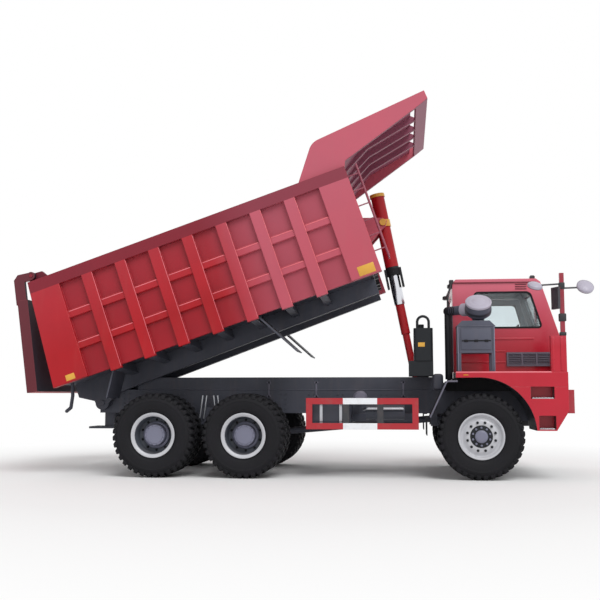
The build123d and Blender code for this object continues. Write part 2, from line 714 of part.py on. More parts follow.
def door_hinges(on_door):
    """The half of each hinge that is on the door, or on the frame: a barrel and its leaf."""
    halves = []
    for z in DOOR_HINGES:
        span = (z, z + DOOR_HINGE_HALF) if on_door else (z - DOOR_HINGE_HALF - SEAT_FIT, z - SEAT_FIT)
        barrel = Pos(HINGE_AXIS_X, HINGE_AXIS_Y, sum(span) / 2) * Cylinder(DOOR_HINGE_R, DOOR_HINGE_HALF)
        reach = (HINGE_AXIS_X - 90, HINGE_AXIS_X) if on_door else (HINGE_AXIS_X, HINGE_AXIS_X + 90)
        leaf = block(reach, (CAB_LEFT, CAB_LEFT + 14), span)
        web = block((HINGE_AXIS_X - 4, HINGE_AXIS_X + 4), (CAB_LEFT + 2, HINGE_AXIS_Y), span)
        halves.append(barrel + leaf + web)
    return halves


def make_door():
    """The door leaf with its window cut and its handle."""
    y = (CAB_LEFT - CAB_WALL, CAB_LEFT)
    leaf = rounded_prism(DOOR, y, 40, MOVE_GAP)
    leaf -= rounded_prism(DOOR_WINDOW, (y[0] - 10, y[1] + 10), WINDOW_ROUND)
    handle = block((60, 210), (CAB_LEFT + 18, CAB_LEFT + 34), HANDLE_Z)
    for x in (70, 185):
        handle += block((x, x + 15), (CAB_LEFT - 5, CAB_LEFT + 20), HANDLE_Z)
    pieces["cab_door"] = leaf + handle + door_hinges(True)
    pieces["door_glass"] = rounded_prism(DOOR_WINDOW, (y[1] - 36, y[1] - 36 + GLASS), WINDOW_ROUND, SEAT_FIT)


make_cab()
make_door()

# Seat, dash and steering wheel inside the cab
SEAT_Y = (760, 1260)


def make_interior():
    """Driver's seat on its box, the dash and the steering wheel on its column."""
    cushion = cab_z(0.298)
    back_top = cab_z(0.708)
    seat = block((20, 480), SEAT_Y, (FLOOR_TOP, cushion))
    seat += prism([(-90, back_top), (20, cushion), (130, cushion), (10, back_top)], SEAT_Y)
    dash = prism([(1060, FLOOR_TOP), (1060, cab_z(0.335)), (1120, cab_z(0.391)), (1290, cab_z(0.373)),
                  (1290, FLOOR_TOP)], (CAB_INNER_Y[0] + 40, CAB_INNER_Y[1] - 40))
    foot = Vector(1100, sum(SEAT_Y) / 2, cab_z(0.342))
    head = Vector(800, sum(SEAT_Y) / 2, cab_z(0.466))
    column = rod(foot, head, 30)
    wheel = Plane(origin=head, z_dir=head - foot)
    return group(seat, dash + column + wheel * Box(40, 430, 22) + wheel * Torus(220, 18))


pieces["cab_interior"] = make_interior()

# What stands on the right deck and behind the cab
DECK_BOX_X = (-340, 240)
DECK_BOX_Y = (-1450, -960)
DECK_BOX_Z = (2010, 2440)
DECK_LEG = 50
LID_RISE = 90
CLEANER_R = 210
CLEANER_LENGTH = 220
CLEANER_BEVEL = 60
CLEANER_TILT = 38
STACK_R = 61
STACK_X = FENDER_REAR - STACK_R - MOVE_GAP
STACK_Y = -700
DUCT_R = 78


def make_deck_box():
    """A closed box on four legs, with a bevelled lid."""
    x, y, z = DECK_BOX_X, DECK_BOX_Y, DECK_BOX_Z
    shape = block(x, y, z)
    for leg_x in (x[0], x[1] - DECK_LEG):
        for leg_y in (y[0], y[1] - DECK_LEG):
            shape += block((leg_x, leg_x + DECK_LEG), (leg_y, leg_y + DECK_LEG), (CAB_FLOOR, z[0]))
    top = z[1] + LID_RISE
    lid = prism([(x[0] - 20, z[1]), (x[1] + 20, z[1]), (x[1] - 70, top), (x[0] + 70, top)], y)
    return shape + lid


def make_air_cleaner():
    """A round canister tilted outwards on the lid, its duct and the upright intake stack."""
    top = DECK_BOX_Z[1] + LID_RISE
    middle_x = sum(DECK_BOX_X) / 2 + 60
    middle_y = sum(DECK_BOX_Y) / 2
    tilt = math.radians(CLEANER_TILT)
    lift = CLEANER_LENGTH / 2 * math.cos(tilt) + (CLEANER_R - CLEANER_BEVEL / 2) * math.sin(tilt)
    place = Pos(middle_x, middle_y, top + lift) * Rot(CLEANER_TILT, 0, 0)
    body = Cylinder(CLEANER_R, CLEANER_LENGTH, align=(Align.CENTER, Align.CENTER, Align.CENTER))
    body = chamfer(body.edges().group_by(Axis.Z)[0], CLEANER_BEVEL)
    body += Pos(0, 0, CLEANER_LENGTH / 2 + 20) * Cylinder(CLEANER_R * 0.97, 40)
    foot = block((middle_x - 90, middle_x + 90), (middle_y - 60, middle_y + 120), (top, top + lift))
    canister = place * body + foot
    duct_z = top + lift + 20
    stack = Pos(STACK_X, STACK_Y, (RAIL_TOP + 170 + duct_z) / 2) * Cylinder(STACK_R, duct_z - RAIL_TOP - 170)
    duct = rod((middle_x, middle_y, duct_z), (STACK_X, STACK_Y, duct_z), DUCT_R)
    elbow = Pos(STACK_X, STACK_Y, duct_z) * Sphere(DUCT_R)
    arm = block((STACK_X - 30, STACK_X + 30), (STACK_Y, -RAIL_INNER), (RAIL_TOP, RAIL_TOP + 60))
    riser = block((STACK_X - 30, STACK_X + 30), (STACK_Y - 30, STACK_Y + 30), (RAIL_TOP, RAIL_TOP + 200))
    return canister + stack + duct + elbow + arm + riser


PANEL_X = (1100, 1340)
PANEL_TOP = 2270
POST_X = 1300
POST_Y = -BODY_HALF + 60
POST_TOP = PANEL_TOP + 1002
POST_SIDE = 66


def make_deck_panel():
    """The narrow upright panel at the deck's front corner, which carries the mirror post."""
    shape = block(PANEL_X, (-BODY_HALF, -BODY_HALF + 130), (CAB_FLOOR, PANEL_TOP))
    shape += block((PANEL_X[1] - 60, PANEL_X[1]), (-BODY_HALF + 130, CAB_RIGHT - 20),
                   (CAB_FLOOR, PANEL_TOP - 330))
    return shape


def make_mirrors():
    """The mirror post with a forward and a rearward round mirror and one long mirror."""
    half = POST_SIDE / 2
    post = block((POST_X - half, POST_X + half), (POST_Y - half, POST_Y + half), (PANEL_TOP, POST_TOP))
    shape = post + rod((POST_X, POST_Y, 3030), (1640, POST_Y, 3040), 14)
    shape += Plane(origin=(1665, POST_Y, 3046), z_dir=(0.14, -0.76, 0.6)) * Cylinder(130, 46)
    shape += rod((POST_X, POST_Y, 3100), (900, POST_Y, 3078), 14)
    shape += Plane(origin=(887, POST_Y, 3070), z_dir=(0.18, -0.465, 0.85)) * Cylinder(115, 46)
    shape += rod((POST_X, POST_Y, 2860), (1212, POST_Y - 6, 2860), 14)
    plate = Pos(1205, POST_Y - 10, 2870) * Rot(0, 0, 25) * Box(46, 190, 350)
    return shape + plate


def make_left_mirror():
    """The mirror on two arms at the cab's left front pillar."""
    low = cab_z(0.447)
    shape = block((1262, 1300), (CAB_LEFT, CAB_LEFT + 34), (low, low + 50))
    shape += rod((1281, CAB_LEFT + 17, low + 25), (1330, CAB_LEFT + 60, low + 280), 13)
    return shape + Pos(1335, CAB_LEFT + 44, low + 380) * Box(50, 88, 380)


TANK_X = (-1040, -725)
TANK_Y = (-1150, -640)
TANK_Z = (SUBFRAME_TOP + 255, SUBFRAME_TOP + 795)
BASE_STEP = 85
PIPE_Y = -980
PIPE_R = 22
PIPE_BEND = 95
PIPE_RISE = 110


def make_hydraulic_tank():
    """The hoist's oil tank on its bracket, with a filler neck and a bent pipe on top."""
    shape = block(TANK_X, TANK_Y, TANK_Z)
    shape = fillet(shape.edges().filter_by(Axis.Z), 60)
    middle_x = sum(TANK_X) / 2
    shape += Pos(middle_x - 40, -800, TANK_Z[1] + 40) * Cylinder(60, 80)
    turn = TANK_Z[1] + PIPE_RISE
    bend = Pos(middle_x, PIPE_Y, turn) * Rot(90, 0, 0) * Torus(PIPE_BEND, PIPE_R)
    shape += bend & block((-FAR, FAR), (-FAR, 0), (turn, FAR))
    for x in (middle_x - PIPE_BEND, middle_x + PIPE_BEND):
        shape += rod((x, PIPE_Y, TANK_Z[1] - 10), (x, PIPE_Y, turn), PIPE_R)
    seat = (SUBFRAME_TOP + MOVE_GAP, TANK_Z[0])
    bracket = block((TANK_X[0] - BASE_STEP, TANK_X[1]), (TANK_Y[0] + 20, -RAIL_OUTER), seat)
    leg = block((TANK_X[0] + 60, TANK_X[1] - 60), (-RAIL_OUTER, -RAIL_INNER), (SUBFRAME_TOP, seat[1]))
    return shape + bracket + leg


pieces["deck_box"] = make_deck_box()
pieces["air_cleaner"] = make_air_cleaner()
pieces["deck_panel"] = make_deck_panel()
pieces["mirrors"] = group(make_mirrors(), make_left_mirror())
pieces["hydraulic_tank"] = make_hydraulic_tank()

# Tanks and guards in the bay between the front flap and the rear wheels
WHEEL_ROOM = 325
GUARD_X = (TYRE_RADIUS + WHEEL_ROOM - WHEELBASE, -980)
BAY_MARKS = 181


def bay_x(mark):
    """A place along the bay: mark 0 at its rear end, the last at its front end."""
    return GUARD_X[0] + mark * (GUARD_X[1] - GUARD_X[0]) / BAY_MARKS


FUEL_X = (bay_x(4), bay_x(71))
FUEL_Y = (640, 1330)
FUEL_Z = (850, 1240)
AIR_X = (bay_x(95), bay_x(159))
AIR_Y = 900
AIR_Z = 1050
AIR_R = 120
GUARD_Y = (1440, 1490)
GUARD_Z = (789, 1291)
GUARD_BAR = 100
GUARD_POSTS = (GUARD_X[0], bay_x(60), bay_x(115), GUARD_X[1] - GUARD_BAR)


def make_side_tanks():
    """A fuel tank and an air tank on each side, on arms from the rail."""
    fuel = block(FUEL_X, FUEL_Y, FUEL_Z)
    fuel = fillet(fuel.edges().filter_by(Axis.X), 70)
    for x in (FUEL_X[0] + 130, FUEL_X[1] - 130):
        fuel += block((x - 40, x + 40), (RAIL_OUTER, FUEL_Y[0] + 80), (1060, 1160))
    air = Pos(sum(AIR_X) / 2, AIR_Y, AIR_Z) * Rot(0, 90, 0) * Cylinder(AIR_R, AIR_X[1] - AIR_X[0])
    for x in (AIR_X[0] + 120, AIR_X[1] - 120):
        air += block((x - 40, x + 40), (RAIL_OUTER, AIR_Y), (AIR_Z - 30, AIR_Z + 30))
    return group(both_sides(fuel), both_sides(air))


def make_guards():
    """The bar frames along each side, on arms from the rail."""
    x, z = GUARD_X, GUARD_Z
    shape = block(x, GUARD_Y, (z[1] - GUARD_BAR, z[1])) + block(x, GUARD_Y, (z[0], z[0] + GUARD_BAR))
    for post in GUARD_POSTS:
        shape += block((post, post + GUARD_BAR), GUARD_Y, z)
    for arm_x in (bay_x(80), bay_x(174)):
        shape += block((arm_x, arm_x + 60), (RAIL_OUTER, GUARD_Y[0]), (z[1] - 80, z[1] - 40))
    return group(both_sides(shape))


FLAP_TOP = 1546
FLAP_LINE = [(FENDER_REAR, FLAP_TOP), (-525, FLAP_TOP), (-790, 985), (-845, 985), (-845, 700)]
FLAP_T = 14
FLAP_Y = (880, 1530)


def make_front_flaps():
    """The bent plate that hangs from the fender behind each front wheel, with its flap."""
    (x0, z0), (x1, z1), (x2, z2), (x3, z3), (x4, z4) = FLAP_LINE
    points = FLAP_LINE + [(x4 - FLAP_T, z4), (x3 - FLAP_T, z3 + FLAP_T), (x2 - FLAP_T, z2 + FLAP_T),
                          (x1 - FLAP_T * 0.7, z1 + FLAP_T), (x0, z0 + FLAP_T)]
    hanger = block((FENDER_REAR, FENDER_REAR + FLAP_T), FLAP_Y, (FLAP_TOP, FENDER_FOOT))
    return group(both_sides(prism(points, FLAP_Y) + hanger))


pieces["side_tanks"] = make_side_tanks()
pieces["side_guards"] = make_guards()
pieces["front_flaps"] = make_front_flaps()

# Bed, drawn level from its hinge and then tipped
BED = Pos(HINGE_X, 0, HINGE_Z) * Rot(0, -BED_TILT, 0)
TAIL_SLOPE = math.tan(math.radians(BED_TAIL_LEAN))
SKIN_OUTER = BED_INNER + BED_WALL
FOOT_Z = 345
EAR_R = 120
BEAM_TAIL = -370
BEAM_TAIL_Z = 226
BEAM_NOSE_Z = 190
STIFFENER_ROWS = (947, 1493)


def tail_x(z):
    """Where the leaning rear edge of a side is at one height."""
    return BED_TAIL + (z - SIDE_BOTTOM) * TAIL_SLOPE


def make_bed_floor():
    """The floor plate on two deep beams with hinge ears, and arms out to the sides."""
    floor = block((tail_x(BED_FLOOR), FRONT_WALL_FACE - BED_WALL), (-BED_INNER, BED_INNER),
                  (BED_FLOOR, BED_FLOOR + FLOOR_THICKNESS))
    y = (BEAM_INNER, BEAM_OUTER)
    nose = FRONT_WALL_FACE - 10
    beam = prism([(BEAM_TAIL, BED_FLOOR), (BEAM_TAIL, BEAM_TAIL_Z), (-EAR_R, BEAM_BOTTOM), (300, BEAM_BOTTOM),
                  (nose, BEAM_NOSE_Z), (nose, BED_FLOOR)], y)
    beam += rod_y(0, 0, EAR_R, y)
    beam += prism([(-EAR_R, BEAM_BOTTOM + 10), (300, BEAM_BOTTOM + 10), (EAR_R * 0.9, -EAR_R * 0.4),
                   (-EAR_R * 0.9, -EAR_R * 0.4)], y)
    beam -= rod_y(0, 0, HINGE_PIN_R + RUN_FIT, (BEAM_INNER - 10, BEAM_OUTER + 10))
    arm = [(BEAM_OUTER, BED_FLOOR), (BEAM_OUTER, FOOT_Z - 60), (BED_INNER, FOOT_Z), (BED_INNER, BED_FLOOR)]
    arms = [prism_yz(arm, (x - 60, x + 60)) for x in RIBS]
    half = beam + arms
    return floor + both_sides(half)


def stiffener(start, end, middle):
    """A horizontal stiffener between two ribs, with a sloping top."""
    low = middle - STIFFENER_HEIGHT / 2
    high = middle + STIFFENER_HEIGHT / 2
    outer = SKIN_OUTER + STIFFENER_PROUD
    section = [(SKIN_OUTER, low), (outer, low + 10), (outer, high - 35), (SKIN_OUTER, high)]
    return prism_yz(section, (start, end))


def make_bed_side():
    """The left side: skin, top rail, end pillars, ribs and rows of stiffeners."""
    rail_bottom = SIDE_TOP - RAIL_DEPTH
    ribbed = (SKIN_OUTER, BED_OUTER)
    skin = prism([(tail_x(SIDE_BOTTOM), SIDE_BOTTOM), (BED_NOSE, SIDE_BOTTOM), (BED_NOSE, SIDE_TOP),
                  (tail_x(SIDE_TOP), SIDE_TOP)], (BED_INNER, SKIN_OUTER))
    proud = [prism([(tail_x(rail_bottom), rail_bottom), (BED_NOSE, rail_bottom), (BED_NOSE, SIDE_TOP),
                    (tail_x(SIDE_TOP), SIDE_TOP)], ribbed)]
    proud.append(prism([(tail_x(SIDE_BOTTOM), SIDE_BOTTOM), (REAR_PILLAR_END, SIDE_BOTTOM),
                        (REAR_PILLAR_END, rail_bottom), (tail_x(rail_bottom), rail_bottom)], ribbed))
    proud.append(block((FRONT_PILLAR_START, BED_NOSE), ribbed, (SIDE_BOTTOM, rail_bottom)))
    for x in RIBS:
        proud.append(block((x - RIB_WIDTH / 2, x + RIB_WIDTH / 2), ribbed, (FOOT_Z, rail_bottom)))
    starts = [REAR_PILLAR_END] + [x + RIB_WIDTH / 2 for x in RIBS]
    ends = [x - RIB_WIDTH / 2 for x in RIBS] + [FRONT_PILLAR_START]
    for start, end in zip(starts, ends):
        proud += [stiffener(start, end, row) for row in STIFFENER_ROWS]
    bracket = prism([(GATE_PIVOT_X - 70, SIDE_TOP), (67, SIDE_TOP), (-12, GATE_PIVOT_Z + 30),
                     (GATE_PIVOT_X - 40, GATE_PIVOT_Z + 50), (GATE_PIVOT_X - 70, GATE_PIVOT_Z)],
                    (BED_INNER, SKIN_OUTER))
    pin = rod_y(GATE_PIVOT_X, GATE_PIVOT_Z, GATE_PIN_R, (SKIN_OUTER - 10, BED_OUTER))
    return skin + proud + [bracket, pin]


CRADLE_Y = (150, 215)
FRONT_RIBS = (420, 900, 1300)


def make_front_wall():
    """The front wall with upright ribs and the two cradle arms that hold the hoist."""
    face = FRONT_WALL_FACE
    shape = block((face - BED_WALL, face), (-BED_INNER, BED_INNER), (BED_FLOOR, SIDE_TOP))
    ribs = [block((face, face + 70), (y - 60, y + 60), (BED_FLOOR, SIDE_TOP)) for y in FRONT_RIBS]
    arm = prism([(face, TRUNNION_Z - 360), (TRUNNION_X + 20, TRUNNION_Z - 80), (TRUNNION_X + 80, TRUNNION_Z),
                 (TRUNNION_X + 20, TRUNNION_Z + 80), (face, TRUNNION_Z + 260)], CRADLE_Y)
    arm -= rod_y(TRUNNION_X, TRUNNION_Z, TRUNNION_R + RUN_FIT, (CRADLE_Y[0] - 10, CRADLE_Y[1] + 10))
    for piece in ribs + [arm]:
        shape += both_sides(piece)
    return shape


LADDER_X = 5580
LADDER_Y = (-1590, -1290)
LADDER_Z = (620, 2190)
LADDER_R = 15
RUNG_R = 11
RUNGS = 6


def make_ladder():
    """The ladder that stands off the right front pillar."""
    low, high = LADDER_Z
    over = 2 * LADDER_R
    shape = [rod((LADDER_X, y, low - over), (LADDER_X, y, high + over), LADDER_R) for y in LADDER_Y]
    pitch = (high - low) / RUNGS
    for i in range(RUNGS + 1):
        z = low + pitch * i
        shape.append(rod((LADDER_X, LADDER_Y[0], z), (LADDER_X, LADDER_Y[1], z), RUNG_R))
    for i in range(RUNGS):
        z = low + pitch * (i + 0.5)
        shape.append(rod((BED_NOSE, LADDER_Y[0], z), (LADDER_X, LADDER_Y[0], z), RUNG_R))
    return shape[0] + shape[1:]


CANOPY = {"heel": (4569, SIDE_TOP), "shoulder": (5010, 2829), "tip": (7040, 2997), "lip": (7049, 2849),
          "lip_back": (6820, 2768), "knee": (5430, 2340), "toe": (BED_NOSE, SIDE_TOP)}
SHOULDER_ROUND = 260
KNEE_ROUND = 70
TRAY = 46
TRAY_RIBS = (250, 800)
TRAY_RIB_DEPTH = 95
TRAY_RIB_HALF = 40
VAULT = (5857, 2690)
LIP_SLOT = 60


def make_canopy():
    """The rock guard over the cab: two cheeks, a lip plate, and a vaulted tray on ribs between them."""
    face = make_face(Polyline(*CANOPY.values(), close=True))
    for name, radius in (("shoulder", SHOULDER_ROUND), ("knee", KNEE_ROUND)):
        corner = face.vertices().sort_by_distance((*CANOPY[name], 0))[0]
        face = fillet(corner, radius)
    cheek = extrude(Plane.XZ.offset(-SKIN_OUTER) * face, BED_WALL)
    inside = (-BED_INNER, BED_INNER)
    back = FRONT_WALL_FACE - BED_WALL
    (knee_x, knee_z), (lip_x, lip_z), (far_x, far_z) = CANOPY["knee"], CANOPY["lip_back"], CANOPY["lip"]
    vault_x, vault_z = VAULT
    tray_end = (lip_x - LIP_SLOT, lip_z + TRAY_RIB_DEPTH)
    under = [(back, SIDE_TOP), (FRONT_WALL_FACE, SIDE_TOP), (knee_x - 20, knee_z + 40), VAULT, tray_end]
    over = [(tray_end[0] - 10, tray_end[1] + TRAY), (vault_x - 15, vault_z + TRAY),
            (knee_x - 45, knee_z + 80), (FRONT_WALL_FACE - 20, SIDE_TOP + TRAY), (back, SIDE_TOP + TRAY)]
    lip = [(lip_x, lip_z), (far_x, far_z), (far_x - 3, far_z + TRAY), (lip_x - 10, lip_z + TRAY)]
    shape = prism(under + over, inside) + prism(lip, inside) + both_sides(cheek)
    rib = [(FRONT_WALL_FACE, SIDE_TOP + 20), (knee_x + 40, knee_z + 35),
           (vault_x + 30, vault_z - TRAY_RIB_DEPTH), (lip_x + 20, lip_z + 14), (lip_x + 20, lip_z + 40),
           (tray_end[0], tray_end[1] + 20), (vault_x, vault_z + 20), (knee_x - 20, knee_z + 60)]
    for y in TRAY_RIBS:
        shape += both_sides(prism(rib, (y - TRAY_RIB_HALF, y + TRAY_RIB_HALF)))
    return shape


GUARD_PLATE_Y = (830, BED_INNER - SEAT_FIT)
GUARD_T = 18


def make_bed_mudguards():
    """Slanting plates under the bed, ahead of and behind the rear wheels."""
    front = RIBS[4] + 60
    rear = RIBS[0] - 60
    ahead = prism([(front, 430), (front, 400), (3640, -366), (3640 + GUARD_T, -356),
                   (front + GUARD_T, 430)], GUARD_PLATE_Y)
    behind = prism([(rear, 430), (rear, 400), (390, -45), (390 - GUARD_T, -35),
                    (rear - GUARD_T, 430)], GUARD_PLATE_Y)
    return group(both_sides(ahead), both_sides(behind))


HOOK_Y = 1000
HOOK_R = 30


def make_gate_hooks():
    """The bent hooks below the floor's rear edge that hold the closed gate."""
    points = [(-270, BED_FLOOR), (-330, 250), (-424, 62), (-512, 30)]
    path = [(x, HOOK_Y, z) for x, z in points]
    shape = [rod(a, b, HOOK_R) for a, b in zip(path, path[1:])]
    shape += [Pos(*corner) * Sphere(HOOK_R) for corner in path[1:]]
    hook = shape[0] + shape[1:]
    hook &= block((-FAR, FAR), (0, FAR), (-FAR, BED_FLOOR))
    return both_sides(hook)


BED_SIDE = make_bed_side()
pieces["bed_floor"] = BED * (make_bed_floor() + make_gate_hooks())
pieces["bed_side_left"] = BED * BED_SIDE
pieces["bed_side_right"] = BED * mirror(BED_SIDE, Plane.XZ)
pieces["bed_front_wall"] = BED * make_front_wall()
pieces["bed_ladder"] = BED * make_ladder()
pieces["bed_canopy"] = BED * make_canopy()
pieces["bed_mudguards"] = BED * make_bed_mudguards()

# Tailgate, drawn closed against the sides and then swung on its pivot
GATE_HEIGHT = 1545
GATE_FOOT = -10
GATE_ARM_Y = (SKIN_OUTER + 8, BED_OUTER - 6)
GATE_RIBS = (0, 800)
GATE_BARS = (0, 0.5, 1)
GATE_BAR = 110
ARM_ROUND = 68


def make_gate():
    """The gate: a plate with outside ribs and two goose-neck arms over the sides."""
    inner = -GATE_GAP
    outer = inner - GATE_PLATE
    shape = block((outer, inner), (-BED_OUTER, BED_OUTER), (GATE_FOOT, GATE_HEIGHT))
    for y in (*GATE_RIBS, BED_OUTER - GATE_BAR / 2):
        width = (y - GATE_BAR / 2, y + GATE_BAR / 2)
        shape += both_sides(block((outer - GATE_RIB, outer), width, (GATE_FOOT, GATE_HEIGHT)))
    for share in GATE_BARS:
        low = GATE_FOOT + share * (GATE_HEIGHT - GATE_FOOT - GATE_BAR)
        shape += block((outer - GATE_RIB, outer), (-BED_OUTER, BED_OUTER), (low, low + GATE_BAR))
    shape = Pos(BED_TAIL, 0, SIDE_BOTTOM) * Rot(0, BED_TAIL_LEAN, 0) * shape
    top = GATE_PIVOT_Z + 60
    low = SIDE_TOP + MOVE_GAP + 8
    leg = SIDE_BOTTOM + GATE_HEIGHT - 60
    front = tail_x(SIDE_TOP) - 36
    arm = prism([(GATE_PIVOT_X, low), (GATE_PIVOT_X, top), (front - 100, top), (front - 180, top - 80),
                 (front - 200, leg), (front - 20, leg), (front, low)], GATE_ARM_Y)
    arm += rod_y(GATE_PIVOT_X, GATE_PIVOT_Z, ARM_ROUND, GATE_ARM_Y)
    arm -= rod_y(GATE_PIVOT_X, GATE_PIVOT_Z, GATE_PIN_R + RUN_FIT, (SKIN_OUTER, BED_OUTER + 10))
    return shape + both_sides(arm)


PIVOT = Pos(GATE_PIVOT_X, 0, GATE_PIVOT_Z)
GATE_SWING = PIVOT * Rot(0, GATE_OPEN, 0) * PIVOT.inverse()
pieces["tailgate"] = BED * GATE_SWING * make_gate()

# Hoist: a barrel on trunnions and four nested stages down to the foot
TILT = math.radians(BED_TILT)
TRUNNION = Vector(HINGE_X + TRUNNION_X * math.cos(TILT) - TRUNNION_Z * math.sin(TILT), 0,
                  HINGE_Z + TRUNNION_X * math.sin(TILT) + TRUNNION_Z * math.cos(TILT))
HOIST_LINE = Vector(HOIST_FOOT_X, 0, HOIST_FOOT_Z) - TRUNNION
HOIST = Plane(origin=TRUNNION, x_dir=(0, 1, 0), z_dir=HOIST_LINE)
STAGE_SHOWN = (HOIST_LINE.length - BARREL_BELOW - EYE_LENGTH) / len(STAGE_RADII)
BARREL_TOP_WALL = 30
GLAND_R = 138
GLAND_LENGTH = 120
SKIRT_REACH = 230
SKIRT_T = 40
SKIRT_HALF = 90
EYE_R = 62
EYE_HALF = FOOT_EAR_GAP - 10


def tube(radius, low, high, bore=0):
    """A round bar or tube along the hoist, between two distances from the trunnion."""
    shape = Pos(0, 0, (low + high) / 2) * Cylinder(radius, high - low)
    if bore:
        shape -= Pos(0, 0, (low + high) / 2) * Cylinder(bore, high - low + 2)
    return shape


def make_barrel():
    """The barrel: closed at the top, trunnion pins at the side, a gland and two guard plates at its mouth."""
    shape = tube(BARREL_R, -BARREL_ABOVE, BARREL_BELOW)
    shape += tube(BARREL_R + 12, -BARREL_ABOVE, -BARREL_ABOVE + 60)
    shape += tube(BARREL_R + 14, -60, 60)
    shape += tube(GLAND_R, BARREL_BELOW - GLAND_LENGTH, BARREL_BELOW)
    shape += Rot(0, 90, 0) * Cylinder(TRUNNION_R, 2 * CRADLE_Y[1] + 30)
    skirt = block((-SKIRT_HALF, SKIRT_HALF), (GLAND_R - 25, GLAND_R - 25 + SKIRT_T),
                  (BARREL_BELOW - GLAND_LENGTH, BARREL_BELOW + SKIRT_REACH))
    shape += [skirt, mirror(skirt, Plane.XZ)]
    bore = STAGE_RADII[0] + STAGE_FIT
    return shape - tube(bore, -BARREL_ABOVE + BARREL_TOP_WALL, BARREL_BELOW + 10)


pieces["hoist_barrel"] = HOIST * make_barrel()
for number, radius in enumerate(STAGE_RADII, 1):
    mouth = BARREL_BELOW + number * STAGE_SHOWN
    if number < len(STAGE_RADII):
        stage = tube(radius, mouth - STAGE_LENGTH, mouth, STAGE_RADII[number] + STAGE_FIT)
    else:
        stage = tube(radius, mouth - STAGE_LENGTH, mouth + EYE_LENGTH)
        eye = Pos(0, 0, HOIST_LINE.length) * Rot(0, 90, 0)
        stage += eye * Cylinder(EYE_R, 2 * EYE_HALF)
        stage -= eye * Cylinder(EYE_R / 2, 2 * EYE_HALF + 10)
    pieces[f"hoist_stage_{number}"] = HOIST * stage

# One step moves the origin to the ground under the middle of the truck
corners = [shape.bounding_box() for shape in pieces.values()]
MIDDLE_X = (min(c.min.X for c in corners) + max(c.max.X for c in corners)) / 2
MIDDLE_Y = (min(c.min.Y for c in corners) + max(c.max.Y for c in corners)) / 2
os.makedirs("parts", exist_ok=True)
for name, shape in pieces.items():
    export_step(Pos(-MIDDLE_X, -MIDDLE_Y, 0) * shape, f"parts/{name}.step")
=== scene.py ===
# %% [markdown]
# # Dressing a mining dump truck
# The CAD model gives every rigid piece its true shape and place. This lesson loads it as a fixed frame,
# gives each piece a paint, rubber, steel or glass finish, and adds what a CAD model leaves plain:
# round tyres with cut lugs, wheel nuts, window rubbers, lamp lenses, seat cushions and rows of bolts.

# %% Load the frame
import json
import math

import bmesh
import bpy
from mathutils import Matrix, Vector


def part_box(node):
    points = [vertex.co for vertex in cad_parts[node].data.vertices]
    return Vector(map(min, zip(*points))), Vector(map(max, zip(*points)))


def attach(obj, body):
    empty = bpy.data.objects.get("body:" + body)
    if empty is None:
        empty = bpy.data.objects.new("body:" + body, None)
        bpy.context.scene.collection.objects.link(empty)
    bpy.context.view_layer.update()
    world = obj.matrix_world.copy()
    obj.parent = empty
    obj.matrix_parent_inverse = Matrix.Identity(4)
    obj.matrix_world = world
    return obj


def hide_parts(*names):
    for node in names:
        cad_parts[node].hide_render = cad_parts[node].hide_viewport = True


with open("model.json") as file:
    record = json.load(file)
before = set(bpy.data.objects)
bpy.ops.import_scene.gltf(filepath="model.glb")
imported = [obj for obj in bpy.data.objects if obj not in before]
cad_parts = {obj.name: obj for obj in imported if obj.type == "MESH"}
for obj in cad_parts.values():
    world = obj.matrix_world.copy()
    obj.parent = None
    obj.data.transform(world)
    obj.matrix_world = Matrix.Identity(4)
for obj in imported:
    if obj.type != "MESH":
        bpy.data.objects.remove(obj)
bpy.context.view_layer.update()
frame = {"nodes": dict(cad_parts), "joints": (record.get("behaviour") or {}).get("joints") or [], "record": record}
joints = {joint["name"]: joint for joint in frame["joints"]}

# %% [markdown]
# ## Where things are
# The truck's maker measures from the front axle, so the script does too. The bed is drawn level from its
# hinge and then tipped, which one matrix does for every piece that the bed carries.

# %% Places
AXLE_X = joints["spin_front_right"]["pos_m"][0]
HINGE = Vector(joints["bed_tilt"]["pos_m"])
BED_TILT = math.radians(-joints["bed_tilt"]["range_deg"][0])
BED = Matrix.Translation(HINGE) @ Matrix.Rotation(-BED_TILT, 4, "Y")
SIDES = {"left": 1, "right": -1}
CAB_RIGHT = -0.55
CAB_LEFT = 1.55
DECK = 1.70
BODY_HALF = 1.55
RAIL_FACE = 0.455
BED_UP = BED.to_3x3() @ Vector((0, 0, 1))
BED_LONG = BED.to_3x3() @ Vector((1, 0, 0))
TRUNNION = Vector(joints["hoist_pivot"]["pos_m"])
HOIST_AXIS = Vector(joints["hoist_slide_1"]["axis"]).normalized()
ACROSS = Vector((0, 1, 0))


def at(x, y, z):
    """A point measured from the ground under the front axle's middle."""
    return Vector((AXLE_X + x, y, z))


print("front axle at", round(AXLE_X, 3), "bed tipped by", round(math.degrees(BED_TILT), 2))

# %% [markdown]
# ## Reckoning with sockets
# A finish is a web of nodes. Clicking it together suits one material; for a dozen it is clearer to write
# sums. A Wire wraps a node's output so that `1 - mask` or `dust * 0.4` adds the Math node by itself.


# %% A socket that takes part in sums
class Wire:
    """A node's output; each operator on it adds one Math node."""

    def __init__(self, web, socket):
        self.web = web
        self.socket = socket

    def sum(self, operation, first, second):
        """One Math node on two values."""
        return self.web.node("ShaderNodeMath", {"operation": operation}, {0: first, 1: second})

    def __add__(self, other):
        return self.sum("ADD", self, other)

    __radd__ = __add__

    def __mul__(self, other):
        return self.sum("MULTIPLY", self, other)

    __rmul__ = __mul__

    def __sub__(self, other):
        return self.sum("SUBTRACT", self, other)

    def __rsub__(self, other):
        return self.sum("SUBTRACT", other, self)

    def __gt__(self, other):
        return self.sum("GREATER_THAN", self, other)

    def __lt__(self, other):
        return self.sum("LESS_THAN", self, other)


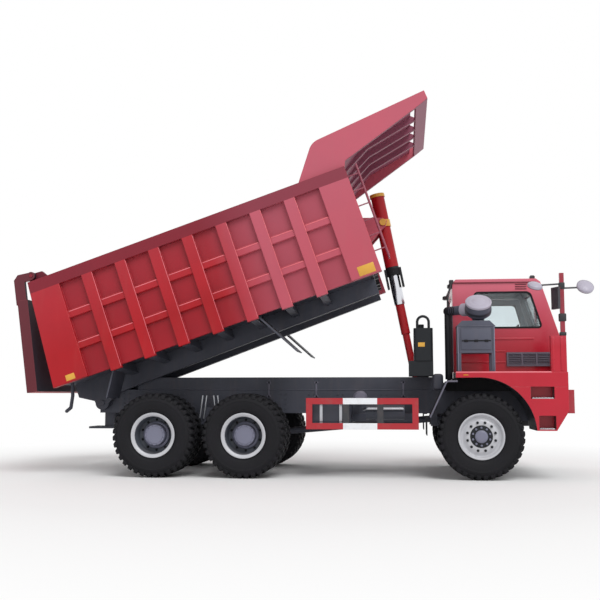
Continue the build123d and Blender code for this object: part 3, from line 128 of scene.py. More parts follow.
# %% A web of nodes
class Web:
    """A node tree, whose nodes all come from node()."""

    def __init__(self, tree):
        self.nodes = tree.nodes
        self.links = tree.links

    def plug(self, socket, value):
        """Sets a socket's value, or links it."""
        if isinstance(value, Wire):
            self.links.new(value.socket, socket)
        elif socket.type == "RGBA":
            socket.default_value = (*value[:3], 1.0)
        else:
            socket.default_value = value

    def node(self, kind, settings=None, sockets=None, out=0):
        """Adds a node: its settings first, then the values or links of its sockets."""
        made = self.nodes.new(kind)
        for key, value in (settings or {}).items():
            setattr(made, key, value)
        for key, value in (sockets or {}).items():
            self.plug(made.inputs[key], value)
        return Wire(self, made.outputs[out])


# %% A material that is built by sums
class Finish(Web):
    """A material with one Principled shader."""

    def __init__(self, name, **plain):
        self.material = bpy.data.materials.new(name)
        self.material.use_nodes = True
        super().__init__(self.material.node_tree)
        self.shader = self.nodes["Principled BSDF"]
        for key, value in plain.items():
            self.put(key.replace("_", " "), value)

    def put(self, name, value):
        """Sets or links one of the shader's own sockets."""
        self.plug(self.shader.inputs[name], value)

    def place(self, stretch=(1, 1, 1)):
        """The point on the piece, in metres, stretched for a pattern that runs one way."""
        point = self.node("ShaderNodeTexCoord", out="Object")
        return self.node("ShaderNodeMapping", sockets={"Vector": point, "Scale": stretch})

    def axis(self, letter):
        """One coordinate of the point."""
        return self.node("ShaderNodeSeparateXYZ", sockets={0: self.place()}, out=letter)

    def noise(self, scale, detail=4.0, stretch=(1, 1, 1)):
        """A cloudy pattern from 0 to 1; a larger scale is finer."""
        return self.node("ShaderNodeTexNoise", sockets={
            "Vector": self.place(stretch), "Scale": scale, "Detail": detail, "Roughness": 0.58})

    def span(self, value, low, high):
        """0 below low, 1 above high, a straight line between."""
        return self.node("ShaderNodeMapRange", {"clamp": True}, {
            "Value": value, "From Min": low, "From Max": high, "To Min": 0.0, "To Max": 1.0})

    def blend(self, share, first, second):
        """The first colour turning into the second."""
        return self.node("ShaderNodeMix", {"data_type": "RGBA"}, {0: share, 6: first, 7: second}, out=2)

    def along(self, origin, axis):
        """Metres from a point along an axis."""
        arm = self.node("ShaderNodeVectorMath", {"operation": "SUBTRACT"}, {0: self.place(), 1: origin})
        return self.facing(axis, arm)

    def facing(self, axis, normal=None):
        """How far a face looks along an axis of its own piece: 1 straight along it, 0 across it."""
        normal = normal or self.node("ShaderNodeTexCoord", out="Normal")
        return self.node("ShaderNodeVectorMath", {"operation": "DOT_PRODUCT"},
                         {0: normal, 1: axis}, out="Value")

    def upward(self):
        """1 on faces that look up, where dust settles."""
        return self.facing((0, 0, 1))

    def rounded(self, radius):
        """The normal of the same surface with its edges rounded off."""
        return self.node("ShaderNodeBevel", {"samples": 4}, {"Radius": radius})

    def edges(self, radius):
        """1 along sharp edges that face the weather and the light, where the rounded normal leaves the flat one;
        they take wear and a painted highlight.
        """
        flat = self.node("ShaderNodeNewGeometry", out="Normal")
        worn = self.rounded(radius)
        weather_and_light = self.span(self.facing((0.5, 0, 0.86), worn), 0.0, 0.3)
        return self.span(1 - self.facing(flat, worn), 0.02, 0.2) * weather_and_light

    def bump(self, height, strength, depth, normal=None):
        """A normal that follows a pattern's height, in metres."""
        sockets = {"Height": height, "Strength": strength, "Distance": depth}
        if normal is not None:
            sockets["Normal"] = normal
        return self.node("ShaderNodeBump", sockets=sockets)


def rgb(red, green, blue):
    """A colour as a screen gives it, 0 to 255, in the straight-line values that shaders use."""
    values = [v / 255 for v in (red, green, blue)]
    return tuple(v / 12.92 if v < 0.04045 else ((v + 0.055) / 1.055) ** 2.4 for v in values)


print("finish tools ready")

# %% [markdown]
# ## Paint
# Sprayed steel is never one flat colour. It has a faint mottle, a skin like orange peel, dust on what
# faces up, and thin bright edges that are partly wear and partly a painted highlight where they face the
# light; a paler tone can be added as a painted sky reflection. The edges are found by comparing the flat
# normal with a rounded one, which needs no extra faces on the CAD mesh.

# %% Paint finish
DUST = rgb(150, 132, 118)


def paint(name, colour, deep, rough=0.34, coat=0.35, dust=0.25, wear_and_highlight=None, edge=0.008,
          painted_sheen=None, second=None):
    """A sprayed finish in two close tones with dust on top and bright edges, partly wear and partly painted
    highlight.

    The sheen (a paler tone that is a painted sky reflection) and the second colour (a real second paint on some
    pieces, painted shade on others) are each a colour and a function that says how much of it goes where.
    """
    finish = Finish(name, Coat_Roughness=0.12, Specular_IOR_Level=0.3)
    broad = finish.span(finish.noise(1.3, 3.0), 0.35, 0.68)
    fine = finish.noise(46.0)
    streak = finish.span(finish.noise(9.0, 3.0, (1, 1, 0.12)), 0.5, 0.75)
    settled = finish.span(finish.upward(), 0.5, 0.95) * finish.span(fine, 0.3, 0.75) * dust
    film = settled + streak * (dust * 0.18)
    tone = finish.blend(broad * 0.6, colour, deep)
    # painted sky reflection: a paler tone where the sheen's function says
    if painted_sheen:
        light, where = painted_sheen
        tone = finish.blend(where(finish), tone, light)
    tone = finish.blend(film, tone, DUST)
    # bright edges: edge wear and a painted highlight on edges that face the light
    if wear_and_highlight:
        tone = finish.blend(finish.edges(edge) * finish.span(fine, 0.2, 0.5) * 0.8, tone, wear_and_highlight)
    # second colour: a real second paint on some pieces, painted shade on others
    if second:
        cover, where = second
        tone = finish.blend(where(finish), tone, cover)
    finish.put("Base Color", tone)
    finish.put("Roughness", fine * 0.1 + film * 0.5 + (rough - 0.05))
    finish.put("Coat Weight", coat - film * coat)
    finish.put("Normal", finish.bump(finish.noise(120.0, 2.0), 0.08, 0.002, finish.rounded(edge)))
    return finish.material


print("paint is one function")

# %% [markdown]
# ## Where a second colour goes
# The truck's red is painted paler towards the bed's front and the cab's roof, a painted sky reflection.
# Painted shade goes on the bed's top rail, the bays between its ribs, the canopy's underside and the gate's
# edges. Some pieces have two colours: black wheel arches, a dark gate inside, a grey lining in the cab. Each
# place is a small sum on the point and the face's direction. Cutting the mesh up would do it too, but the
# CAD pieces have to stay as they are.


# %% Places on the bed and its hoist
def bed_painted_sheen(finish):
    """Painted sky reflection: grows towards the bed's front, and a little up its sides."""
    forward = finish.span(finish.along(HINGE, BED_LONG), 2.8, 3.7)
    upward = finish.span(finish.along(HINGE, BED_UP), 0.9, 2.3)
    return forward * 0.46 + upward * 0.12


BAY_FACE = 1.565
TOP_RAIL = 2.04


def shaded_rail_and_bays(finish):
    """Painted shade: part of the coat on the bed's top rail and in the bays between its ribs, out of the light."""
    y = finish.axis("Y")
    bays = y * y < BAY_FACE * BAY_FACE
    return (finish.along(HINGE, BED_UP) > TOP_RAIL) * 0.7 + bays * 0.3


WALL_FOOT = 0.75


def below_floor(finish):
    """1 on the foot of the bed's front wall."""
    return finish.along(HINGE, BED_UP) < WALL_FOOT


def looks_down(finish):
    """1 on faces that look down."""
    return finish.span(finish.facing((0, 0, -1)), 0.1, 0.5)


CHEEK_INSIDE = 1.49


def canopy_underside_shade(finish):
    """Painted shade: 1 on the canopy's tray and ribs, seen from below, and on faces that look down."""
    y = finish.axis("Y")
    return (y * y < CHEEK_INSIDE * CHEEK_INSIDE) * (finish.upward() < 0.5) + looks_down(finish)


def gate_inside_and_edge_shade(finish):
    """1 on the gate's faces that look into the bed, which are dark, and most of it on its side edges as painted
    shade.
    """
    edge = finish.facing((0, 1, 0))
    return finish.span(finish.facing((1, 0, 0)), 0.3, 0.5) + edge * edge * 0.75


GLAND_START = 0.80


def at_gland(finish):
    """1 on the lower end of the hoist's barrel and its guard plates."""
    return finish.along(TRUNNION, HOIST_AXIS) > GLAND_START


print("places on the bed ready")


# %% Places on the cab, its deck and its wheel arches
def cab_painted_sheen(finish):
    """Painted sky reflection: grows up the cab's sides to its roof."""
    return finish.span(finish.axis("Z"), 2.1, 3.4) * 0.6


ARCH_X = -0.03
ARCH_Z = 0.73
ARCH_R = 0.888


def in_arch(finish):
    """1 inside the front wheel arches and on what looks down, back or inwards at the wheels."""
    x = finish.axis("X") - (AXLE_X + ARCH_X)
    z = finish.axis("Z") - ARCH_Z
    behind = finish.span(finish.facing((-1, 0, 0)), 0.3, 0.5)
    inwards = finish.facing((0, -1, 0)) * finish.axis("Y") > 0.5
    return (x * x + z * z < ARCH_R * ARCH_R) + looks_down(finish) + behind + inwards


CAB_SHELL = 0.025
CAB_REAR_INSIDE = -0.33
CAB_ROOF_INSIDE = 3.27


def inside_cab(finish):
    """1 on the inner faces of the cab's shell, which are lined in grey."""
    x = finish.axis("X") - AXLE_X
    y = finish.axis("Y")
    between = (y > CAB_RIGHT + CAB_SHELL) * (y < CAB_LEFT - CAB_SHELL)
    room = (x > CAB_REAR_INSIDE) * between * (finish.axis("Z") < CAB_ROOF_INSIDE)
    return room * (finish.facing((1, 0, 0)) < 0.3) * (finish.upward() < 0.5)


STACK_FRONT = -0.36


def at_stack(finish):
    """1 on the air cleaner's black intake stack behind the cab."""
    return finish.axis("X") < AXLE_X + STACK_FRONT


print("places on the cab ready")

# %% Reds
LINER = rgb(30, 30, 35)
# The pale sheen colours are a painted sky reflection, paler towards the bed's front and the cab's roof.
BED_COAT = dict(colour=rgb(174, 16, 28), deep=rgb(150, 13, 24), rough=0.5, coat=0.05, dust=0.2,
                wear_and_highlight=rgb(232, 96, 102), edge=0.018, painted_sheen=(rgb(206, 118, 138), bed_painted_sheen))
CAB_COAT = dict(colour=rgb(188, 22, 46), deep=rgb(170, 17, 38), rough=0.34, coat=0.3, dust=0.08,
                wear_and_highlight=rgb(230, 112, 120), edge=0.012, painted_sheen=(rgb(236, 142, 164), cab_painted_sheen))
bed_red = paint("bed_red", **BED_COAT)
# the bed sides' second colour is painted shade on the top rail and in the bays between the ribs
side_red = paint("side_red", second=(rgb(102, 24, 42), shaded_rail_and_bays), **BED_COAT)
# the canopy's second colour is painted shade on its underside
canopy_red = paint("canopy_red", second=(rgb(142, 80, 100), canopy_underside_shade), **BED_COAT)
wall_red = paint("wall_red", second=(LINER, below_floor), **BED_COAT)
# the gate's dark colour goes on its inside faces, and on its side edges as painted shade
gate_red = paint("gate_red", second=(rgb(36, 38, 47), gate_inside_and_edge_shade), **BED_COAT)
HOIST_COAT = dict(BED_COAT, painted_sheen=None)
barrel_red = paint("barrel_red", second=(LINER, at_gland), **HOIST_COAT)
stage_red = paint("stage_red", **HOIST_COAT)
cab_red = paint("cab_red", second=(rgb(96, 110, 122), inside_cab), **CAB_COAT)
arch_red = paint("arch_red", second=(LINER, in_arch), **CAB_COAT)
# a pale pink used for painted highlights along lit edges
kerb_red = paint("kerb_red", rgb(232, 118, 128), rgb(216, 96, 108), dust=0.1)
trim_red = paint("trim_red", rgb(112, 24, 42), rgb(92, 18, 34), dust=0.1)
ladder_red = paint("ladder_red", rgb(158, 82, 98), rgb(128, 58, 74), dust=0.2)
print("reds ready")

# %% Black, greys and yellow
chassis_black = paint("chassis_black", rgb(74, 76, 87), rgb(57, 59, 69),
                      rough=0.5, coat=0.0, dust=0.35, wear_and_highlight=rgb(92, 96, 102))
DECK_COAT = dict(colour=rgb(88, 90, 104), deep=rgb(70, 72, 85), rough=0.48, coat=0.0, dust=0.2)
deck_grey = paint("deck_grey", wear_and_highlight=rgb(140, 142, 148), **DECK_COAT)
cleaner_grey = paint("cleaner_grey", second=(LINER, at_stack), **DECK_COAT)
wheel_silver = paint("wheel_silver", rgb(196, 197, 202), rgb(174, 175, 181),
                     rough=0.36, coat=0.2, dust=0.15)
hub_grey = paint("hub_grey", rgb(126, 127, 146), rgb(104, 106, 123), rough=0.42, coat=0.1, dust=0.2)
shell_grey = paint("shell_grey", rgb(186, 181, 196), rgb(160, 156, 171), rough=0.4, coat=0.1, dust=0.1)
dish_grey = paint("dish_grey", rgb(82, 87, 96), rgb(62, 66, 75), rough=0.5, coat=0.0)
tank_black = paint("tank_black", rgb(24, 28, 33), rgb(18, 21, 26), rough=0.5, coat=0.0, dust=0.05)
tank_grey = paint("tank_grey", rgb(68, 71, 82), rgb(54, 57, 66), rough=0.42, coat=0.1)
louvre_grey = paint("louvre_grey", rgb(110, 108, 122), rgb(90, 88, 101), rough=0.5, coat=0.0)
hoist_yellow = paint("hoist_yellow", rgb(226, 172, 66), rgb(196, 140, 52), dust=0.15)
print("black, greys and yellow ready")

# %% [markdown]
# ## Two-tone paint
# The bar frame along the side is red with a white middle, and the mirror post is red where its mirrors are
# dark. Masking tape does that on the real truck; here a band of the X coordinate does.


# %% Two-tone paint
def banded(name, inside, outside, low, high, second=None):
    """Paint with one colour between two X values and another outside them.

    A second coat is a colour and a function, as in paint().
    """
    finish = Finish(name, Coat_Weight=0.25, Coat_Roughness=0.15)
    x = finish.axis("X")
    band = (x > AXLE_X + low) * (x < AXLE_X + high)
    fine = finish.noise(40.0)
    tone = finish.blend(band, outside, inside)
    if second:
        cover, where = second
        tone = finish.blend(where(finish), tone, cover)
    grime = finish.span(finish.noise(7.0), 0.5, 0.8) * 0.25
    finish.put("Base Color", finish.blend(grime, tone, rgb(120, 100, 92)))
    finish.put("Roughness", fine * 0.15 + 0.32)
    finish.put("Normal", finish.bump(finish.noise(110.0, 2.0), 0.08, 0.002, finish.rounded(0.008)))
    return finish.material


GUARD_WHITE = (-2.19, -1.64)
POSTS_X = (-2.20, -1.53)
POSTS_Z = (0.889, 1.191)


def guard_posts(finish):
    """1 on the two dark posts between the white bars."""
    x = finish.axis("X") - AXLE_X
    z = finish.axis("Z")
    return (z > POSTS_Z[0]) * (z < POSTS_Z[1]) * (x > POSTS_X[0]) * (x < POSTS_X[1])


guard_paint = banded("guard_red_white", rgb(236, 238, 242), rgb(172, 18, 34), *GUARD_WHITE,
                     second=(rgb(40, 41, 47), guard_posts))
post_paint = banded("mirror_post", rgb(150, 26, 50), rgb(50, 51, 58), 1.262, 1.338)
lamp_paint = banded("lamp_housings", rgb(164, 20, 42), rgb(38, 34, 38), 1.25, 1.60)
print("two-tone paints ready")

# %% [markdown]
# ## Rubber, steel, glass and plastic
# Rubber is dark and dull with pale scuffs. Plated steel is a mirror with faint draw lines. Glass lets the
# cab's inside show. Each is one short function of noise, so it holds at any size.


# %% Rubber
def rubber(name, colour, scuff):
    """Dull black rubber with a dusty bloom."""
    finish = Finish(name, Specular_IOR_Level=0.25)
    bloom = finish.span(finish.noise(5.0), 0.42, 0.72)
    grain = finish.noise(85.0)
    finish.put("Base Color", finish.blend(bloom * finish.span(grain, 0.35, 0.7) * 0.7, colour, scuff))
    finish.put("Roughness", bloom * 0.15 + 0.68)
    finish.put("Normal", finish.bump(grain, 0.35, 0.003, finish.rounded(0.006)))
    return finish.material


tyre_rubber = rubber("tyre_rubber", rgb(17, 17, 21), rgb(44, 42, 48))
seal_rubber = rubber("seal_rubber", rgb(24, 24, 27), rgb(46, 46, 48))
print("rubbers ready")


# %% Steel
def steel(name, colour, rough, lines=(1, 1, 1)):
    """Bare or plated steel with fine lines along one direction."""
    finish = Finish(name, Metallic=1.0)
    draw = finish.noise(60.0, 3.0, lines)
    finish.put("Base Color", finish.blend(draw * 0.35, colour, tuple(c * 0.72 for c in colour)))
    finish.put("Roughness", draw * 0.12 + (rough - 0.05))
    finish.put("Normal", finish.bump(draw, 0.06, 0.001))
    return finish.material


chrome = steel("chrome", rgb(226, 228, 234), 0.14, (1, 1, 0.1))
bright_steel = steel("bright_steel", rgb(196, 198, 204), 0.34)
dark_steel = steel("dark_steel", rgb(92, 94, 102), 0.42)
mirror_glass = steel("mirror_glass", rgb(214, 220, 226), 0.07)
print("steels ready")


# %% Glass and lenses
def clear(name, colour, rough, share):
    """Glass or lens plastic; share is how much of what is behind shows."""
    finish = Finish(name, IOR=1.45, Transmission_Weight=share, Specular_IOR_Level=0.5)
    smear = finish.span(finish.noise(6.0), 0.45, 0.8)
    finish.put("Base Color", finish.blend(smear * 0.25, colour, tuple(c * 0.9 for c in colour)))
    finish.put("Roughness", smear * 0.05 + rough)
    return finish.material


window_glass = clear("window_glass", rgb(238, 246, 248), 0.02, 0.95)
lamp_lens = clear("lamp_lens", rgb(236, 238, 240), 0.06, 0.7)
amber_lens = clear("amber_lens", rgb(232, 140, 36), 0.1, 0.35)
red_lens = clear("red_lens", rgb(190, 24, 24), 0.1, 0.35)
print("glass ready")


# %% Plastic and seat cloth
def moulded(name, colour, deep, grain=160.0, rough=0.55, depth=0.3):
    """Grained plastic or leathercloth."""
    finish = Finish(name)
    cells = finish.node("ShaderNodeTexVoronoi", sockets={"Vector": finish.place(), "Scale": grain})
    broad = finish.noise(6.0)
    finish.put("Base Color", finish.blend(broad, deep, colour))
    finish.put("Roughness", broad * 0.15 + (rough - 0.07))
    finish.put("Normal", finish.bump(cells, depth, 0.002, finish.rounded(0.006)))
    return finish.material


black_plastic = moulded("black_plastic", rgb(44, 45, 49), rgb(32, 33, 36))
dash_plastic = moulded("dash_plastic", rgb(84, 98, 110), rgb(64, 76, 88), 120.0)
seat_cloth = moulded("seat_cloth", rgb(70, 72, 80), rgb(48, 50, 58), 220.0, 0.85, 0.5)
print("plastics ready")

# %% [markdown]
# ## Dressing the CAD nodes
# The record names a material slot for every node. Most nodes take the finish of their slot; a few that
# carry two colours or differ from their slot are named one by one.

# %% Finish for each node
SLOT_FINISH = {
    "bed_red": bed_red, "cab_red": cab_red, "chassis_black": chassis_black, "dark_paint": deck_grey,
    "tyre": tyre_rubber, "wheel_silver": wheel_silver, "glass": window_glass, "chrome": chrome,
    "black_plastic": black_plastic, "lamp": lamp_paint}
NODE_FINISH = {
    "side_guards": guard_paint, "mirrors": post_paint, "hydraulic_tank": tank_black,
    "cab_posts": chassis_black, "front_flaps": seal_rubber, "side_tanks": tank_grey,
    "side_louvre": louvre_grey, "air_cleaner": cleaner_grey,
    "fender_left": arch_red, "fender_right": arch_red, "front_bumper": arch_red,
    "bed_canopy": canopy_red, "bed_side_left": side_red, "bed_side_right": side_red,
    "bed_front_wall": wall_red, "bed_ladder": ladder_red, "tailgate": gate_red, "hoist_barrel": barrel_red,
    "hoist_stage_2": stage_red, "hoist_stage_3": stage_red, "hoist_stage_4": stage_red}
for entry in frame["record"]["subparts"]:
    node = frame["nodes"][entry["node"]]
    node.data.materials.clear()
    node.data.materials.append(NODE_FINISH.get(entry["node"], SLOT_FINISH[entry["material_slot"]]))
print("dressed", len(frame["nodes"]), "nodes")

# %% [markdown]
# ## Mesh tools
# Every added piece is made with the same few moves: a cube or a cone is placed and its edges bevelled, a
# line is spun into a turned part, a ring is drawn out into a pipe. Blocks and rods hand back their new
# vertices, so that a caller can turn them.


# %% Blocks and rods
def soften(bm, verts, size, steps=2):
    """Bevels every edge of a shape."""
    if not size:
        return verts
    edges = list({edge for vert in verts for edge in vert.link_edges})
    made = bmesh.ops.bevel(bm, geom=edges, offset=size, offset_type="OFFSET", segments=steps, profile=0.5,
                           affect="EDGES", clamp_overlap=True, material=-1)
    return made["verts"]


def add_box(bm, low, high, soft=0.0, steps=2):
    """A block between two corners."""
    low, high = Vector(low), Vector(high)
    verts = bmesh.ops.create_cube(bm, size=1.0)["verts"]
    bmesh.ops.scale(bm, vec=high - low, verts=verts)
    bmesh.ops.translate(bm, vec=(low + high) / 2, verts=verts)
    return soften(bm, verts, soft, steps)


def add_rod(bm, start, end, radius, sides=20, soft=0.0):
    """A round bar between two points."""
    start, end = Vector(start), Vector(end)
    heading = (end - start).to_track_quat("Z", "Y").to_matrix().to_4x4()
    verts = bmesh.ops.create_cone(
        bm, cap_ends=True, segments=sides, radius1=radius, radius2=radius, depth=(end - start).length,
        matrix=Matrix.Translation((start + end) / 2) @ heading)["verts"]
    return soften(bm, verts, soft, 1)


def turn(bm, verts, angle, axis, centre):
    """Turns a shape about an axis, in radians."""
    bmesh.ops.rotate(bm, cent=centre, matrix=Matrix.Rotation(angle, 3, axis), verts=verts)


def add_nut(bm, place, outward, size):
    """A wheel nut: a hexagon with its stud end standing out of it."""
    place, outward = Vector(place), Vector(outward).normalized()
    add_rod(bm, place, place + outward * size * 0.9, size, sides=6, soft=size * 0.12)
    add_rod(bm, place, place + outward * size * 1.5, size * 0.5, sides=8)


print("blocks and rods ready")


# %% Turned shapes and pipes
def add_turned(bm, profile, centre, axis, steps=72):
    """A line of (distance along the axis, radius) points, spun all the way round."""
    before = set(bm.verts)
    centre, axis = Vector(centre), Vector(axis).normalized()
    side = axis.orthogonal().normalized()
    line = [bm.verts.new(centre + axis * along + side * radius) for along, radius in profile]
    edges = [bm.edges.new(pair) for pair in zip(line, line[1:])]
    bmesh.ops.spin(bm, geom=line + edges, cent=centre, axis=axis, dvec=(0, 0, 0), angle=2 * math.pi,
                   steps=steps, use_merge=True, use_duplicate=False)
    made = [vert for vert in bm.verts if vert not in before]
    bmesh.ops.remove_doubles(bm, verts=made, dist=0.00005)


def drawn_verts(geometry):
    """The vertices among what an operator gave back."""
    return [g for g in geometry if isinstance(g, bmesh.types.BMVert)]


def add_pipe(bm, points, radius, bend, sides=12):
    """A tube along straight runs: extrude makes the runs, spin makes the bends."""
    points = [Vector(p) for p in points]
    heading = (points[1] - points[0]).normalized()
    place = Matrix.Translation(points[0]) @ heading.to_track_quat("Z", "Y").to_matrix().to_4x4()
    ring = bmesh.ops.create_circle(bm, cap_ends=False, segments=sides, radius=radius, matrix=place)["verts"]
    edges = list({edge for vert in ring for edge in vert.link_edges})
    start = list(edges)
    here = points[0]
    for number, corner in enumerate(points[1:], 1):
        last = number == len(points) - 1
        ahead = heading if last else (points[number + 1] - corner).normalized()
        angle = heading.angle(ahead)
        stop = corner if last else corner - heading * bend * math.tan(angle / 2)
        drawn = bmesh.ops.extrude_edge_only(bm, edges=edges)["geom"]
        verts = drawn_verts(drawn)
        edges = [g for g in drawn if isinstance(g, bmesh.types.BMEdge) and all(v in verts for v in g.verts)]
        bmesh.ops.translate(bm, vec=stop - here, verts=verts)
        here = stop
        if last or angle < 0.01:
            continue
        axis = heading.cross(ahead).normalized()
        centre = stop + axis.cross(heading) * bend
        spun = bmesh.ops.spin(bm, geom=verts + edges, cent=centre, axis=axis, dvec=(0, 0, 0), angle=angle,
                              steps=5, use_merge=False, use_duplicate=False)["geom_last"]
        edges = [g for g in spun if isinstance(g, bmesh.types.BMEdge)]
        here = Matrix.Rotation(angle, 3, axis) @ (stop - centre) + centre
        heading = ahead
    bmesh.ops.holes_fill(bm, edges=start + edges, sides=0)


print("turned shapes and pipes ready")


# %% Rounded bands, and keeping a piece
SHARP = math.radians(32)


def add_rounded_frame(bm, corners, radius, width, depth, steps=6):
    """A band along the inside of a rounded outline: inset, drop the middle, draw out."""
    before = set(bm.faces)
    verts = [bm.verts.new(corner) for corner in corners]
    bm.faces.new(verts)
    bmesh.ops.bevel(bm, geom=verts, offset=radius, offset_type="OFFSET", segments=steps, profile=0.5,
                    affect="VERTICES", clamp_overlap=True, material=-1)
    inner = [face for face in bm.faces if face not in before]
    band = bmesh.ops.inset_region(bm, faces=inner, thickness=width, depth=0.0, use_boundary=True,
                                  use_even_offset=True)["faces"]
    bmesh.ops.delete(bm, geom=inner, context="FACES")
    drawn = bmesh.ops.extrude_face_region(bm, geom=band)["geom"]
    bmesh.ops.translate(bm, vec=depth, verts=drawn_verts(drawn))


def keep(name, bm, finish, body="chassis", stands_for=()):
    """Makes the mesh an object that rides on a body and takes a finish."""
    bmesh.ops.recalc_face_normals(bm, faces=bm.faces)
    mesh = bpy.data.meshes.new(name)
    bm.to_mesh(mesh)
    bm.free()
    mesh.materials.append(finish)
    mesh.shade_smooth()
    mesh.set_sharp_from_angle(angle=SHARP)
    piece = bpy.data.objects.new(name, mesh)
    bpy.context.scene.collection.objects.link(piece)
    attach(piece, body)
    if stands_for:
        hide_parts(*stands_for)
    print(f"{name}: {len(mesh.polygons)} faces on {body}")
    return piece


def blocks(name, finish, rows):
    """A piece of the chassis made of blocks: a row has two corners, its edges' size and their steps."""
    bm = bmesh.new()
    for low, high, *edge in rows:
        add_box(bm, at(*low), at(*high), *edge)
    keep(name, bm, finish)


def both_sides(rows):
    """The rows of blocks on the left side, and the same on the right."""
    made = []
    for side in SIDES.values():
        for (rear, near, foot), (front, far, top), *edge in rows:
            low, high = sorted((side * near, side * far))
            made.append(((rear, low, foot), (front, high, top), *edge))
    return made


print("pieces are kept by name")

# %% [markdown]
# ## Tyres
# A rock tyre is a fat round casing with heavy lugs cut across its tread and over its shoulder. The casing
# is one line spun round. A lug is a block whose outer end is drawn down the shoulder; copies go round both
# halves, half a step apart, as on a traction tread.

# %% Tyre shape
TYRE_R = joints["spin_front_right"]["pos_m"][2]
LUGS = 36
LUG_HALF = 0.040
LUG_FOOT = 0.632
LUG_TOP = TYRE_R - 0.005
LUG_INNER = 0.012
LUG_OUTER = 0.150
LUG_LEAN = 0.045
SHOULDER_DROP = (0, 0.032, -0.030)
CASING = [(0.139, 0.352), (0.15, 0.385), (0.166, 0.42), (0.170, 0.428), (0.172, 0.44), (0.183, 0.482),
          (0.187, 0.525), (0.1865, 0.552), (0.189, 0.558), (0.187, 0.568), (0.181, 0.592), (0.171, 0.618),
          (0.150, 0.640), (0.100, 0.650), (0.0, 0.654)]


def add_lug(bm, side, angle):
    """One lug on one half of the tread, leaning back and wrapping over the shoulder."""
    verts = add_box(bm, (-LUG_HALF, LUG_INNER, LUG_FOOT), (LUG_HALF, LUG_OUTER, LUG_TOP))
    outer = [face for face in {f for v in verts for f in v.link_faces} if face.normal.y > 0.9]
    drawn = bmesh.ops.extrude_face_region(bm, geom=outer)["geom"]
    bmesh.ops.delete(bm, geom=outer, context="FACES_ONLY")
    edge = drawn_verts(drawn)
    bmesh.ops.translate(bm, vec=SHOULDER_DROP, verts=edge)
    verts = list(set(verts) | set(edge))
    top = [v for v in verts if v.co.z > LUG_FOOT + 0.01]
    bmesh.ops.scale(bm, vec=(0.8, 1, 1), verts=top)
    inner = [v for v in verts if v.co.y < LUG_INNER + 0.008]
    bmesh.ops.translate(bm, vec=(LUG_LEAN, 0, 0), verts=inner)
    verts = soften(bm, verts, 0.006, 1)
    if side < 0:
        bmesh.ops.scale(bm, vec=(1, -1, 1), verts=verts)
    turn(bm, verts, angle, "Y", (0, 0, 0))


# %% One tyre, kept to be copied
one_tyre = bmesh.new()
line = [(-along, radius) for along, radius in CASING[:-1]] + list(reversed(CASING))
add_turned(one_tyre, line, (0, 0, 0), ACROSS, steps=96)
for k in range(LUGS):
    add_lug(one_tyre, 1, 2 * math.pi * k / LUGS)
    add_lug(one_tyre, -1, 2 * math.pi * (k + 0.5) / LUGS)
print("one tyre has", len(one_tyre.faces), "faces")


def wheel_centre(wheel):
    """The middle of a wheel, by the name of its joint."""
    return Vector(joints[f"spin_{wheel}"]["pos_m"])


def tyres_at(wheel, shifts=(0.0,)):
    """Copies of the tyre on one wheel, each shifted along the axle."""
    bm = one_tyre.copy()
    bmesh.ops.translate(bm, vec=wheel_centre(wheel) + ACROSS * shifts[0], verts=bm.verts)
    for shift in shifts[1:]:
        whole = list(bm.verts) + list(bm.edges) + list(bm.faces)
        made = bmesh.ops.duplicate(bm, geom=whole)["geom"]
        bmesh.ops.translate(bm, vec=(0, shift - shifts[0], 0), verts=drawn_verts(made))
    return bm


# %% [markdown]
# ## Wheels
# The front wheel bulges outwards in a silver disc with a ring of nuts round a dark hub flange. The rear
# wheels are twins, so the outer one is a deep dark dish behind a bright rim, with the hub's grey drum in
# the middle. All of them are turned parts, so each is a line that is spun.

# %% Wheel shapes
RIM_EDGE = 0.367
TWIN_HALF = 0.215
FRONT_RIM = [(-0.167, 0.325), (-0.167, RIM_EDGE), (-0.150, RIM_EDGE), (-0.147, 0.3452), (0.0, 0.3448),
             (0.147, 0.3452), (0.148, 0.358), (0.153, 0.3655), (0.162, RIM_EDGE), (0.167, 0.362),
             (0.166, 0.346), (0.152, 0.331), (0.116, 0.322), (0.108, 0.312), (0.106, 0.296), (0.112, 0.280),
             (0.128, 0.262), (0.139, 0.235), (0.142, 0.205), (0.141, 0.178)]
FRONT_BACK = [(-0.167, 0.325), (-0.05, 0.318), (0.02, 0.300), (0.10, 0.300)]
FRONT_HUB = [(0.135, 0.180), (0.148, 0.172), (0.149, 0.128), (0.152, 0.110), (0.158, 0.098)]
FRONT_CAP = [(0.150, 0.104), (0.168, 0.099), (0.178, 0.088), (0.183, 0.066), (0.184, 0.03), (0.186, 0.0)]
REAR_RIM = [(0.060, 0.330), (0.068, 0.3452), (0.362, 0.3452), (0.363, 0.358), (0.368, 0.3655),
            (0.377, RIM_EDGE), (0.382, 0.361), (0.381, 0.344), (0.374, 0.332), (0.366, 0.317),
            (0.360, 0.310), (0.350, 0.306)]
REAR_INNER_RIM = [(-along, radius) for along, radius in REAR_RIM]
REAR_DISH = [(0.355, 0.3075), (0.300, 0.300), (0.180, 0.294), (0.128, 0.286), (0.116, 0.268),
             (0.112, 0.235), (0.112, 0.200)]
REAR_BACK = [(-0.30, 0.318), (-0.12, 0.300), (-0.07, 0.21), (-0.15, 0.205), (-0.15, 0.0905)]
REAR_HUB = [(0.108, 0.222), (0.142, 0.219), (0.150, 0.206), (0.152, 0.184), (0.178, 0.178), (0.245, 0.173),
            (0.256, 0.165), (0.258, 0.142), (0.264, 0.136), (0.268, 0.060), (0.271, 0.0)]
print("a front rim has", len(FRONT_RIM), "points, a rear one", len(REAR_RIM))

